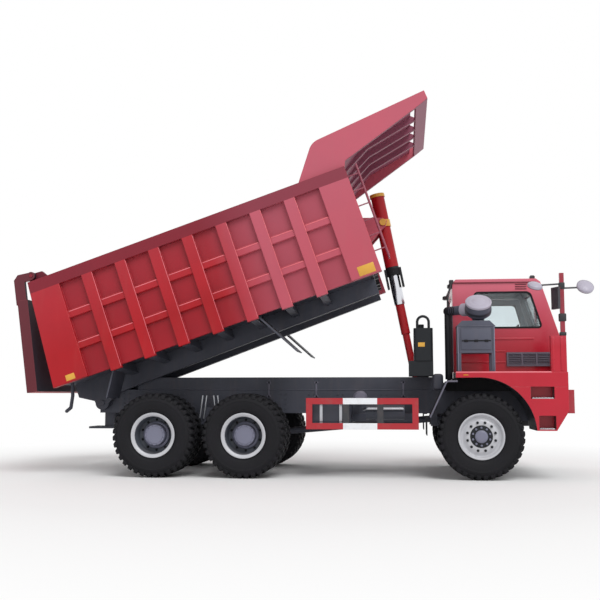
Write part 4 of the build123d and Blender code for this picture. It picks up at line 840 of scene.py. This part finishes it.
# %% Nuts, and a piece of a wheel
FRONT_NUTS = (0.140, 0.226, 0.023, 12)
CAP_NUTS = (0.148, 0.140, 0.019, 10)
REAR_NUTS = (0.110, 0.250, 0.021, 10)
HUB_BOLTS = (0.255, 0.153, 0.008, 12)


def wheel_piece(wheel, name, finish, lines, ring=None, stands_for=(), steps=72):
    """Turned lines, and a ring of nuts that face outwards, on one wheel.

    The ring has its place along the axle, its radius, the size of a nut and their number.
    """
    centre = wheel_centre(wheel)
    side = math.copysign(1, centre.y)
    bm = bmesh.new()
    for line in lines:
        add_turned(bm, line, centre, (0, side, 0), steps)
    if ring:
        along, radius, size, count = ring
        for k in range(count):
            angle = 2 * math.pi * (k + 0.5) / count
            spoke = Vector((math.cos(angle) * radius, side * along, math.sin(angle) * radius))
            add_nut(bm, centre + spoke, (0, side, 0), size)
    keep(name, bm, finish, f"wheel_{wheel}", stands_for)


# %% Front wheels
for side in SIDES:
    wheel = f"front_{side}"
    keep(f"front_tyre_{side}_lugged", tyres_at(wheel), tyre_rubber, f"wheel_{wheel}",
         [f"front_tyre_{side}"])
    wheel_piece(wheel, f"front_wheel_{side}_disc", wheel_silver, [FRONT_RIM, FRONT_BACK],
                stands_for=[f"front_rim_{side}"], steps=96)
    wheel_piece(wheel, f"front_wheel_{side}_nuts", tank_black, [FRONT_HUB], FRONT_NUTS)
    wheel_piece(wheel, f"front_wheel_{side}_cap", hub_grey, [FRONT_CAP], CAP_NUTS)

# %% Rear twin wheels
for side in SIDES:
    for axle in ("rear_1", "rear_2"):
        wheel = f"{axle}_{side}"
        keep(f"{axle}_tyres_{side}_lugged", tyres_at(wheel, (-TWIN_HALF, TWIN_HALF)), tyre_rubber,
             f"wheel_{wheel}", [f"{axle}_tyres_{side}"])
        wheel_piece(wheel, f"{axle}_rims_{side}_bright", wheel_silver,
                    [REAR_RIM, REAR_INNER_RIM], stands_for=[f"{axle}_rims_{side}"], steps=96)
        wheel_piece(wheel, f"{axle}_dish_{side}", dish_grey, [REAR_DISH, REAR_BACK])
        wheel_piece(wheel, f"{axle}_nuts_{side}", seal_rubber, [], REAR_NUTS)
        wheel_piece(wheel, f"{axle}_hub_{side}", hub_grey, [REAR_HUB], HUB_BOLTS)

# %% [markdown]
# ## Cab windows
# A pane sits in a black rubber channel. The channel follows the window's rounded outline, so the
# outline is drawn once, inset, and the band between is drawn out to a thickness.

# %% Window rubbers
SEAL = 0.03
RIGHT_WINDOW = [(0.0, 2.476), (1.125, 2.476), (0.930, 3.080), (0.0, 3.080)]
DOOR_WINDOW = [(0.07, 2.44), (1.10, 2.44), (0.93, 3.06), (0.07, 3.06)]


def grown(points, margin):
    """The outline a little larger, moved out from its middle."""
    middle = sum((Vector(p) for p in points), Vector((0, 0))) / len(points)
    return [p + Vector((math.copysign(margin, p.x - middle.x), math.copysign(margin, p.y - middle.y)))
            for p in map(Vector, points)]


def window_rubber(name, window, margin, y, depth, body):
    """The channel round a side window, drawn into the wall from a little outside it."""
    seal = bmesh.new()
    add_rounded_frame(seal, [at(x, y, z) for x, z in grown(window, margin)], 0.08, SEAL, (0, depth, 0))
    keep(name, seal, seal_rubber, body)


window_rubber("right_window_rubber", RIGHT_WINDOW, 0.014, CAB_RIGHT - 0.008, 0.034, "chassis")
window_rubber("door_window_rubber", DOOR_WINDOW, 0.012, CAB_LEFT + 0.006, -0.034, "door")

# %% [markdown]
# ## Cab panels
# Pressed panels have swage lines, a dark rain gutter and a lining that hides the bare steel inside. Each
# is a slim bevelled strip laid on the CAD wall.

# %% Swage lines, gutter and lining
SWAGES = [(-0.30, 0.98, 2.285, 0.018), (-0.30, 0.50, 2.075, 0.012), (-0.30, 0.50, 1.89, 0.012)]
blocks("right_wall_swages", cab_red, [
    ((rear, CAB_RIGHT - 0.009, z - half), (front, CAB_RIGHT + 0.004, z + half), 0.008, 3)
    for rear, front, z, half in SWAGES])
SLOTS_Z = (3.125, 3.163, 3.201)
slots = [((0.69, CAB_RIGHT - 0.008, z), (0.88, CAB_RIGHT + 0.004, z + 0.02), 0.005) for z in SLOTS_Z]
blocks("roof_gutter", trim_red, [
    ((-0.34, CAB_RIGHT - 0.004, 3.238), (1.04, CAB_RIGHT - 0.022, 3.258), 0.006),
    ((-0.34, CAB_LEFT - 0.004, 3.238), (1.04, CAB_LEFT + 0.022, 3.258), 0.006),
    ((-0.385, CAB_RIGHT + 0.02, 3.225), (-0.36, CAB_LEFT - 0.02, 3.250), 0.006)] + slots)
blocks("cab_lining", dash_plastic, [
    ((-0.29, CAB_RIGHT + 0.07, 3.215), (0.98, CAB_LEFT - 0.07, 3.246), 0.012),
    ((-0.304, CAB_RIGHT + 0.07, 1.80), (-0.285, CAB_LEFT - 0.07, 2.44), 0.008)])

# %% Windscreen rubber and wipers
SCREEN_TOP = Vector((1.110, 3.255))
SCREEN_FOOT = Vector((1.400, 2.350))
slope = (SCREEN_FOOT - SCREEN_TOP).normalized()
outward = Vector((-slope.y, slope.x))


def on_screen(share, y, lift):
    """A point on the windscreen: 0 at its top edge, 1 at its foot, lifted off the glass."""
    flat = SCREEN_TOP.lerp(SCREEN_FOOT, share) + outward * lift
    return at(flat.x, y, flat.y)


rubber_edge = bmesh.new()
corners = [on_screen(share, y, -0.012)
           for share, y in ((0.08, -0.46), (0.08, 1.46), (0.92, 1.46), (0.92, -0.46))]
add_rounded_frame(rubber_edge, corners, 0.06, SEAL, Vector((outward.x, 0, outward.y)) * 0.02)
keep("windscreen_rubber", rubber_edge, seal_rubber)
wipers = bmesh.new()
for pivot, tip in ((0.05, 0.62), (0.85, 1.40)):
    add_rod(wipers, on_screen(0.97, pivot, 0.0), on_screen(0.97, pivot, 0.04), 0.022, 16)
    add_pipe(wipers, [on_screen(0.97, pivot, 0.035), on_screen(0.80, (pivot + tip) / 2, 0.045),
                      on_screen(0.62, tip, 0.02)], 0.009, 0.03, 8)
    add_box(wipers, on_screen(0.66, tip - 0.30, 0.004), on_screen(0.63, tip + 0.08, 0.02), 0.004)
keep("wipers", wipers, black_plastic)

# %% [markdown]
# ## Cab inside
# Through the glass a driver's seat, the dash and the wheel show. The CAD block for the seat is only there
# for weight; here the cushions are cubes that are subdivided and smoothed until they are round like
# stuffed pads.

# %% Seat cushions
SEAT = (0.76, 1.26)


def add_cushion(bm, low, high):
    """A stuffed pad: a divided cube whose corners are drawn in by smoothing."""
    verts = add_box(bm, low, high)
    edges = list({edge for vert in verts for edge in vert.link_edges})
    before = set(bm.verts) - set(verts)
    bmesh.ops.subdivide_edges(bm, edges=edges, cuts=7, use_grid_fill=True)
    made = [vert for vert in bm.verts if vert not in before]
    for _ in range(3):
        bmesh.ops.smooth_vert(bm, verts=made, factor=0.5, use_axis_x=True, use_axis_y=True, use_axis_z=True)
    return made


cushion = bmesh.new()
add_cushion(cushion, at(0.03, SEAT[0] + 0.01, 2.02), at(0.49, SEAT[1] - 0.01, 2.19))
keep("seat_cushion", cushion, seat_cloth, "chassis", ["cab_interior"])
back = bmesh.new()
pad = add_cushion(back, at(-0.03, SEAT[0] + 0.01, 2.18), at(0.09, SEAT[1] - 0.01, 2.83))
turn(back, pad, math.radians(-9), "Y", at(0.05, 1.0, 2.2))
keep("seat_back", back, seat_cloth)

# %% Seat frame, dash and steering wheel
blocks("dash_and_seat_frame", dash_plastic, [
    ((0.05, SEAT[0] + 0.04, 1.765), (0.45, SEAT[1] - 0.04, 2.02), 0.02),
    ((-0.075, SEAT[0] + 0.02, 2.10), (-0.035, SEAT[1] - 0.02, 2.52), 0.015),
    ((1.065, -0.44, 1.77), (1.285, 1.44, 2.285), 0.045, 3),
    ((1.03, 0.70, 2.16), (1.12, 1.32, 2.33), 0.03, 3),
    ((0.55, 0.50, 1.765), (0.95, 0.66, 2.02), 0.03)])
WHEEL_HEAD = at(0.80, 1.01, 2.45)
WHEEL_FOOT = at(1.10, 1.01, 2.25)
WHEEL_R = 0.22
GRIP_R = 0.016
SPOKE = 0.215
column = (WHEEL_HEAD - WHEEL_FOOT).normalized()
down = column.cross(ACROSS)
turns = [k * math.pi / 5 for k in range(11)]
grip = [(math.sin(angle) * GRIP_R, WHEEL_R + math.cos(angle) * GRIP_R) for angle in turns]
steering = bmesh.new()
add_rod(steering, WHEEL_FOOT, WHEEL_HEAD, 0.03)
add_turned(steering, grip, WHEEL_HEAD, column, 40)
add_rod(steering, WHEEL_HEAD - ACROSS * SPOKE, WHEEL_HEAD + ACROSS * SPOKE, 0.014, 10)
add_rod(steering, WHEEL_HEAD, WHEEL_HEAD - down * SPOKE, 0.014, 10)
add_rod(steering, WHEEL_HEAD - column * 0.01, WHEEL_HEAD + column * 0.025, 0.055, 24, soft=0.006)
keep("steering_wheel", steering, black_plastic)

# %% [markdown]
# ## What stands on the deck
# The air cleaner has a pale pressed cap, a clamp band and a ribbed rubber duct to the black stack. The box
# below it has a door panel with a latch bar.

# %% Air cleaner cap and clamp
CLEANER = at(0.01, -1.205, 2.7275)
CLEANER_LEAN = math.radians(38)
CLEANER_AXIS = Vector((0, -math.sin(CLEANER_LEAN), math.cos(CLEANER_LEAN)))
CAP = [(0.118, 0.208), (0.150, 0.212), (0.158, 0.206), (0.164, 0.188), (0.160, 0.176), (0.168, 0.160),
       (0.164, 0.110), (0.170, 0.100), (0.171, 0.0)]
CLAMP = [(-0.010, 0.2095), (-0.010, 0.217), (0.025, 0.217), (0.025, 0.2095)]
cap = bmesh.new()
add_turned(cap, CAP, CLEANER, CLEANER_AXIS)
keep("air_cleaner_cap", cap, shell_grey)
band = bmesh.new()
add_turned(band, CLAMP, CLEANER, CLEANER_AXIS)
add_box(band, CLEANER + Vector((-0.03, -0.238, -0.03)), CLEANER + Vector((0.03, -0.205, 0.02)), 0.006)
keep("air_cleaner_clamp", band, dark_steel)

# %% Ribbed duct and its sleeve
DUCT_FROM = at(-0.14, -1.04, 2.7475)
DUCT_TO = at(-0.41, -0.75, 2.7475)
DUCT_AXIS = (DUCT_TO - DUCT_FROM).normalized()
SLEEVE = [(-0.035, 0.079), (-0.035, 0.108), (0.110, 0.108), (0.120, 0.098), (0.120, 0.079)]
RIDGES = 9
line = []
for k in range(RIDGES):
    start = (DUCT_TO - DUCT_FROM).length * k / RIDGES
    line += [(start, 0.066), (start + 0.012, 0.078), (start + 0.026, 0.078), (start + 0.036, 0.066)]
duct = bmesh.new()
add_turned(duct, line, DUCT_FROM, DUCT_AXIS, 32)
keep("air_duct_ribbed", duct, deck_grey)
sleeve = bmesh.new()
add_turned(sleeve, SLEEVE, DUCT_FROM, DUCT_AXIS, 40)
keep("air_duct_sleeve", sleeve, shell_grey)

# %% Deck box door and trunking
REAR, FRONT = -0.34, 0.24
BOX_OUT = -1.45
blocks("deck_box_door", deck_grey, [
    ((REAR + 0.05, BOX_OUT - 0.012, 2.06), (FRONT - 0.05, BOX_OUT + 0.004, 2.40), 0.008),
    ((REAR + 0.02, BOX_OUT - 0.008, 2.02), (REAR + 0.035, BOX_OUT + 0.004, 2.43), 0.004),
    ((FRONT - 0.035, BOX_OUT - 0.008, 2.02), (FRONT - 0.02, BOX_OUT + 0.004, 2.43), 0.004),
    ((REAR - 0.018, BOX_OUT - 0.008, 2.432), (FRONT + 0.018, BOX_OUT + 0.004, 2.45), 0.004)])
BAR = (REAR + 0.06, FRONT - 0.06)
catches = [BAR[0] + share * (BAR[1] - BAR[0]) for share in (0.15, 0.5, 0.85)]
blocks("deck_box_latch", seal_rubber, [
    ((BAR[0], BOX_OUT - 0.020, 2.195), (BAR[1], BOX_OUT - 0.010, 2.215), 0.004)] + [
    ((x - 0.03, BOX_OUT - 0.026, 2.185), (x + 0.03, BOX_OUT - 0.010, 2.222), 0.005) for x in catches])
blocks("deck_box_edges", hub_grey, [
    ((x, BOX_OUT - 0.007, DECK), (x + 0.016, BOX_OUT + 0.004, 2.44), 0.003)
    for x in (REAR - 0.004, FRONT - 0.012)])
blocks("cable_trunking", chassis_black, [
    ((-0.46, -0.635, 1.72), (-0.372, -0.56, 2.74), 0.012)])

# %% Stay from the lamp at the roof's rear corner to the stack
stay = bmesh.new()
add_pipe(stay, [at(-0.385, CAB_RIGHT - 0.03, 3.255), at(-0.40, CAB_RIGHT - 0.05, 3.18),
                at(-0.454, -0.70, 2.98), at(-0.454, -0.70, 2.80)], 0.016, 0.08)
add_box(stay, at(-0.42, CAB_RIGHT - 0.045, 3.235), at(-0.345, CAB_RIGHT + 0.06, 3.30), 0.012)
keep("stack_stay", stay, black_plastic)

# %% Painted highlight strip, folds and marker on the deck
EDGE = -BODY_HALF
# The pale strip along the deck's edge is a painted highlight, a painted reflection on its rounded edge.
blocks("deck_kerb", kerb_red, [
    ((-0.385, EDGE - 0.004, DECK - 0.012), (1.10, EDGE + 0.014, DECK + 0.012), 0.006, 3)])
blocks("deck_panel_folds", cab_red, [
    ((1.245, EDGE - 0.010, DECK + 0.02), (1.290, EDGE + 0.004, 2.25), 0.009, 3),
    ((1.115, EDGE - 0.006, DECK + 0.02), (1.150, EDGE + 0.004, 2.25), 0.005, 2)])
blocks("side_marker", amber_lens, [
    ((-0.27, EDGE - 0.006, 1.645), (-0.19, EDGE + 0.004, 1.668), 0.004)])

# %% Wheel-house liners and flap stays
FLAP_STAY = [(-0.36, 1.558), (-0.528, 1.558), (-0.80, 0.985)]
blocks("wheel_house_liners", seal_rubber, both_sides([
    ((-0.37, 0.875, 1.40), (0.80, 0.895, 1.613), 0.004),
    ((-0.51, 0.875, 1.40), (-0.36, 0.895, 1.54), 0.004)]))
stays = bmesh.new()
for side in SIDES.values():
    add_pipe(stays, [at(x, side * 1.536, z) for x, z in FLAP_STAY], 0.014, 0.05)
keep("flap_stays", stays, louvre_grey)

# %% [markdown]
# ## Mirrors
# Two round wide-view mirrors and one tall mirror hang from the post. Their backs are pale pressed shells,
# and their glass faces the driver.

# %% Mirror shells and glass
POST_X, POST_Y = 1.30, -1.49
ROUND_MIRRORS = [(at(1.665, POST_Y, 3.046), Vector((0.14, -0.76, 0.60)), 0.130),
                 (at(0.887, POST_Y, 3.070), Vector((0.18, -0.465, 0.85)), 0.115)]
shells = bmesh.new()
faces = bmesh.new()
for centre, facing, r in ROUND_MIRRORS:
    back = [(0.020, r + 0.004), (0.030, r - 0.01), (0.044, r * 0.75), (0.052, r * 0.35), (0.053, 0.0)]
    rim = [(0.026, r), (0.010, r + 0.006), (-0.012, r + 0.004), (-0.024, r - 0.006)]
    add_turned(shells, back, centre, facing, 40)
    add_turned(shells, rim, centre, facing, 40)
    add_turned(faces, [(-0.026, r - 0.005), (-0.030, r * 0.5), (-0.031, 0.0)], centre, facing, 40)
keep("mirror_shells", shells, shell_grey)
keep("mirror_faces", faces, mirror_glass)
POST_CLAMPS = [(0.055, 0.05, 2.50, 2.625, 0.014), (0.045, 0.042, 3.01, 3.12, 0.012),
               (0.05, 0.046, 2.272, 2.33, 0.01)]
blocks("mirror_post_clamps", black_plastic, [
    ((POST_X - along, POST_Y - aside, foot), (POST_X + along, POST_Y + aside, top), soft)
    for along, aside, foot, top, soft in POST_CLAMPS])

# %% [markdown]
# ## Lamps
# Each front housing holds two round lamps behind clear lenses. Roof and tail lamps get coloured lenses.

# %% Lenses
LAMP_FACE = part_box("front_bumper")[1].x + 0.071
LENS = [(-0.004, 0.086), (0.004, 0.080), (0.009, 0.05), (0.011, 0.0)]
SPOT_LENS = [(0.0, 0.034), (0.008, 0.03), (0.012, 0.0)]
TAIL_Y = 0.335
ROOF_LAMPS = (CAB_RIGHT + 0.085, CAB_LEFT - 0.085)
clear_lens = bmesh.new()
for side in SIDES.values():
    for y in (1.145, 1.355):
        add_turned(clear_lens, LENS, (LAMP_FACE, side * y, 1.2385), (1, 0, 0), 32)
for y in ROOF_LAMPS:
    add_turned(clear_lens, SPOT_LENS, at(-0.441, y, 3.1975), (-1, 0, 0), 24)
keep("lamp_lenses", clear_lens, lamp_lens)
blocks("roof_lamp_lenses", amber_lens, [
    ((1.017, y - 0.042, 3.322), (1.032, y + 0.042, 3.358), 0.006) for y in ROOF_LAMPS])
blocks("tail_lamp_lenses", red_lens, [
    ((-6.634, side * TAIL_Y - 0.09, 1.155), (-6.622, side * TAIL_Y + 0.09, 1.265), 0.006)
    for side in SIDES.values()])

# %% [markdown]
# ## Steps, plates and straps
# Bright tread plates line the step recesses. Plates that carry print on a real truck stay blank here.

# %% Step treads
BARS = 7
STEP_IN, STEP_OUT = BODY_HALF - 0.19, BODY_HALF - 0.004
treads = bmesh.new()
for side in SIDES.values():
    for rear, front, z in ((0.79, 1.125, 1.284), (0.90, 1.13, 0.804)):
        low, high = sorted((side * STEP_IN, side * STEP_OUT))
        add_box(treads, at(rear, low, z), at(front, high, z + 0.012), 0.003)
        for k in range(BARS):
            x = rear + (front - rear) * (k + 0.5) / BARS
            foot, top = at(x - 0.008, low + 0.01, z + 0.010), at(x + 0.008, high - 0.004, z + 0.022)
            add_box(treads, foot, top, 0.003)
keep("step_treads", treads, bright_steel)

# %% Painted highlight strips along the bed's ribs and stiffeners
# Pale strips on the ribs' edges and the stiffeners' tops are painted highlights, where light catches the edges.
RIB_HALF = 0.095
RIBS = [0.731 + 0.603 * k for k in range(7)]
BAYS = list(zip([0.230] + [x + RIB_HALF for x in RIBS], [x - RIB_HALF for x in RIBS] + [4.872]))
highlight_strips = bmesh.new()
for side in SIDES.values():
    low, high = sorted((side * 1.634, side * 1.643))
    for x in RIBS:
        add_box(highlight_strips, (x + RIB_HALF - 0.008, low, 0.37), (x + RIB_HALF + 0.002, high, 2.03), 0.003)
    low, high = sorted((side * 1.608, side * 1.619))
    for start, end in BAYS:
        for row in (0.947, 1.493):
            add_box(highlight_strips, (start + 0.012, low, row + 0.032), (end - 0.012, high, row + 0.048), 0.004)
bmesh.ops.transform(highlight_strips, matrix=BED, verts=highlight_strips.verts)
keep("bed_bright_edges", highlight_strips, kerb_red, "bed")

# %% Blank plates on the tank and the bed
TANK_OUT = -1.15
blocks("tank_plate", hoist_yellow, [
    ((-0.97, TANK_OUT - 0.006, 2.13), (-0.86, TANK_OUT + 0.003, 2.20), 0.002)])
BED_OUT = 1.64
plates = bmesh.new()
add_box(plates, (5.02, -BED_OUT - 0.004, 0.425), (5.30, -BED_OUT + 0.002, 0.585), 0.002)
add_box(plates, (-0.13, -BED_OUT - 0.004, 0.43), (0.03, -BED_OUT + 0.002, 0.53), 0.002)
bmesh.ops.transform(plates, matrix=BED, verts=plates.verts)
keep("bed_plates", plates, hoist_yellow, "bed")

# %% Tank straps, caps and carriers
TANK_CAP = [(0.0, 0.06), (0.035, 0.06), (0.042, 0.05), (0.042, 0.0)]
STRAP_Z = (0.844, 1.246)
DRUM = [(-0.16, 0.0), (-0.16, 0.10), (-0.13, 0.115), (0.10, 0.115), (0.14, 0.085), (0.155, 0.0)]
straps = bmesh.new()
for side in SIDES.values():
    low, high = sorted((side * 0.634, side * 1.336))
    foot, top = STRAP_Z
    for x in (-2.58, -2.26):
        corners = [at(x, low, foot), at(x, high, foot), at(x, high, top), at(x, low, top)]
        add_rounded_frame(straps, corners, 0.074, 0.008, (0.045, 0, 0))
    add_turned(straps, TANK_CAP, at(-2.42, side * 1.05, 1.238), (0, 0, 1), 28)
    add_pipe(straps, [at(-1.88, side * 0.99, 1.10), at(-1.82, side * 1.05, 1.115),
                      at(-1.22, side * 1.05, 1.115)], 0.022, 0.05)
keep("tank_straps_and_caps", straps, bright_steel)
blocks("tank_carriers", chassis_black, both_sides([
    ((-2.09, RAIL_FACE, 0.885), (-1.02, 0.56, 1.03), 0.01),
    ((-1.97, RAIL_FACE, 1.255), (-1.90, 0.85, 1.335), 0.008)]))
domes = bmesh.new()
for side in SIDES.values():
    add_turned(domes, DRUM, at(-1.935, side * 0.93, 1.295), (0, side, 0), 40)
keep("air_dryer_drums", domes, louvre_grey)

# %% [markdown]
# ## Hoist
# The barrel is ringed in yellow at its head and at its trunnions, and a black wiper gland closes its mouth.

# %% Rings and gland on the barrel
RINGS = ((-0.556, -0.496, 0.1345), (-0.062, 0.062, 0.1365))
GLAND = [(0.835, 0.125), (0.835, 0.1395), (0.951, 0.1395), (0.955, 0.12), (0.955, 0.096)]
GLAND_BOLTS = 8
rings = bmesh.new()
for start, end, radius in RINGS:
    line = [(start, radius - 0.03), (start - 0.002, radius), (end, radius), (end, radius - 0.03)]
    add_turned(rings, line, TRUNNION, HOIST_AXIS, 40)
for side in SIDES.values():
    inner, outer = TRUNNION + ACROSS * side * 0.216, TRUNNION + ACROSS * side * 0.246
    add_rod(rings, inner, outer, 0.062, 28, soft=0.006)
keep("hoist_rings", rings, hoist_yellow, "hoist_barrel")
gland = bmesh.new()
add_turned(gland, GLAND, TRUNNION, HOIST_AXIS, 40)
first = TRUNNION + ACROSS * 0.118
for k in range(GLAND_BOLTS):
    bolt = add_rod(gland, first + HOIST_AXIS * 0.953, first + HOIST_AXIS * 0.966, 0.01, 6)
    turn(gland, bolt, 2 * math.pi * k / GLAND_BOLTS, HOIST_AXIS, TRUNNION)
keep("hoist_gland", gland, seal_rubber, "hoist_barrel")

# %% [markdown]
# ## Bolts on the frame
# Cross-members are bolted through the rails in rows. One small hexagon is repeated, so it has few faces.

# %% Frame bolts
RAIL_OUT = 0.46
BOLTS_X = (1.13, -0.72, -1.15, -1.55, -2.3, -2.8, -3.3, -4.0, -4.55, -5.1, -5.7, -6.1)
bolts = bmesh.new()
for side in SIDES.values():
    for x in BOLTS_X:
        for dx in (-0.045, 0.045):
            for z in (1.11, 1.19, 1.27, 1.35):
                place = at(x + dx, side * RAIL_OUT, z)
                add_rod(bolts, place, place + ACROSS * side * 0.014, 0.015, 6)
keep("frame_bolts", bolts, chassis_black)

# %% Subframe clamps, a painted highlight strip on the rails, valve block and spring bolts
clamps = []
for x in (-2.72, -1.22, -3.55):
    clamps.append(((x - 0.016, RAIL_FACE, 1.30), (x + 0.016, 0.469, 1.57), 0.003))
    for z in (1.30, 1.535):
        clamps.append(((x - 0.035, RAIL_FACE, z), (x + 0.035, 0.469, z + 0.035), 0.003))
blocks("subframe_clamps", louvre_grey, both_sides(clamps))
# a lighter strip along each rail's top edge is a painted highlight
blocks("rail_flanges", deck_grey, both_sides([
    ((-6.45, RAIL_FACE, 1.419), (-0.62, 0.470, 1.431), 0.003)]))
blocks("oil_valve_block", chassis_black, [
    ((-0.735, -1.00, 1.42), (-0.56, -0.64, 1.69), 0.05, 4)])
SPRING_X = -4.55
ubolts = bmesh.new()
for side in SIDES.values():
    for x in (-4.68, -4.61, -4.49, -4.42):
        lean = math.copysign(0.05, x - SPRING_X)
        add_rod(ubolts, at(x, side * 0.654, 1.33), at(x + lean, side * 0.67, 0.93), 0.014, 10)
keep("spring_u_bolts", ubolts, bright_steel)

# %% [markdown]
# ## The stage
# The photograph is a cut-out on white. A pale floor keeps the truck's shadow, a white world shows behind it
# and in its gloss, and one broad sun gives the sides their shape.

# %% Floor
stage = bmesh.new()
bmesh.ops.create_grid(stage, x_segments=1, y_segments=1, size=120.0)
mesh = bpy.data.meshes.new("floor")
stage.to_mesh(mesh)
stage.free()
floor = bpy.data.objects.new("floor", mesh)
bpy.context.scene.collection.objects.link(floor)
pale = Finish("pale_floor", Base_Color=(0.93, 0.93, 0.93), Roughness=0.9, Specular_IOR_Level=0.1)
far = pale.node("ShaderNodeVectorMath", {"operation": "LENGTH"}, {0: pale.place()}, out="Value")
seen = pale.node("ShaderNodeLightPath", out="Is Camera Ray")
glow = pale.node("ShaderNodeEmission", sockets={"Color": (1, 1, 1), "Strength": 1.0})
mixed = pale.node("ShaderNodeMixShader", sockets={
    0: pale.span(far, 6.0, 11.0) * seen, 1: Wire(pale, pale.shader.outputs[0]), 2: glow})
pale.plug(pale.nodes["Material Output"].inputs["Surface"], mixed)
floor.data.materials.append(pale.material)
print("floor laid")

# %% World
SKY_LIGHT = 0.62
world = bpy.data.worlds.new("white_studio")
bpy.context.scene.world = world
world.use_nodes = True
web = Web(world.node_tree)
camera_ray, glossy_ray, through_glass = (
    web.node("ShaderNodeLightPath", out=f"Is {kind} Ray") for kind in ("Camera", "Glossy", "Transmission"))
level = web.node("ShaderNodeMapRange", {"clamp": True}, {
    "Value": camera_ray + glossy_ray + through_glass, "To Min": SKY_LIGHT, "To Max": 1.0})
sky = web.nodes["Background"]
web.plug(sky.inputs["Color"], (1.0, 1.0, 1.0))
web.plug(sky.inputs["Strength"], level)
print("world lit at", SKY_LIGHT)

# %% Sun
sun = bpy.data.lights.new("broad_sun", "SUN")
sun.energy = 1.5
sun.angle = math.radians(35)
sun_object = bpy.data.objects.new("broad_sun", sun)
bpy.context.scene.collection.objects.link(sun_object)
SUN_FROM = Vector((0.35, -0.62, 0.8))
sun_object.rotation_euler = SUN_FROM.to_track_quat("Z", "Y").to_euler()
print("sun set")

# %% [markdown]
# ## The camera
# The photograph was taken low, from the truck's right side, a little ahead of its middle. The values come
# from fitting a camera to the wheels and to the bed's corners.

# %% Camera
camera = bpy.data.cameras.new("photo_camera")
camera.sensor_width = 36.0
camera.lens = 54.336
camera.clip_end = 400.0
camera_object = bpy.data.objects.new("photo_camera", camera)
camera_object.location = at(-1.203, -16.179, 1.360)
camera_object.rotation_euler = (math.radians(90 + 5.91), 0.0, math.radians(6.54))
bpy.context.scene.collection.objects.link(camera_object)
bpy.context.scene.camera = camera_object
bpy.context.scene.view_settings.view_transform = "Standard"
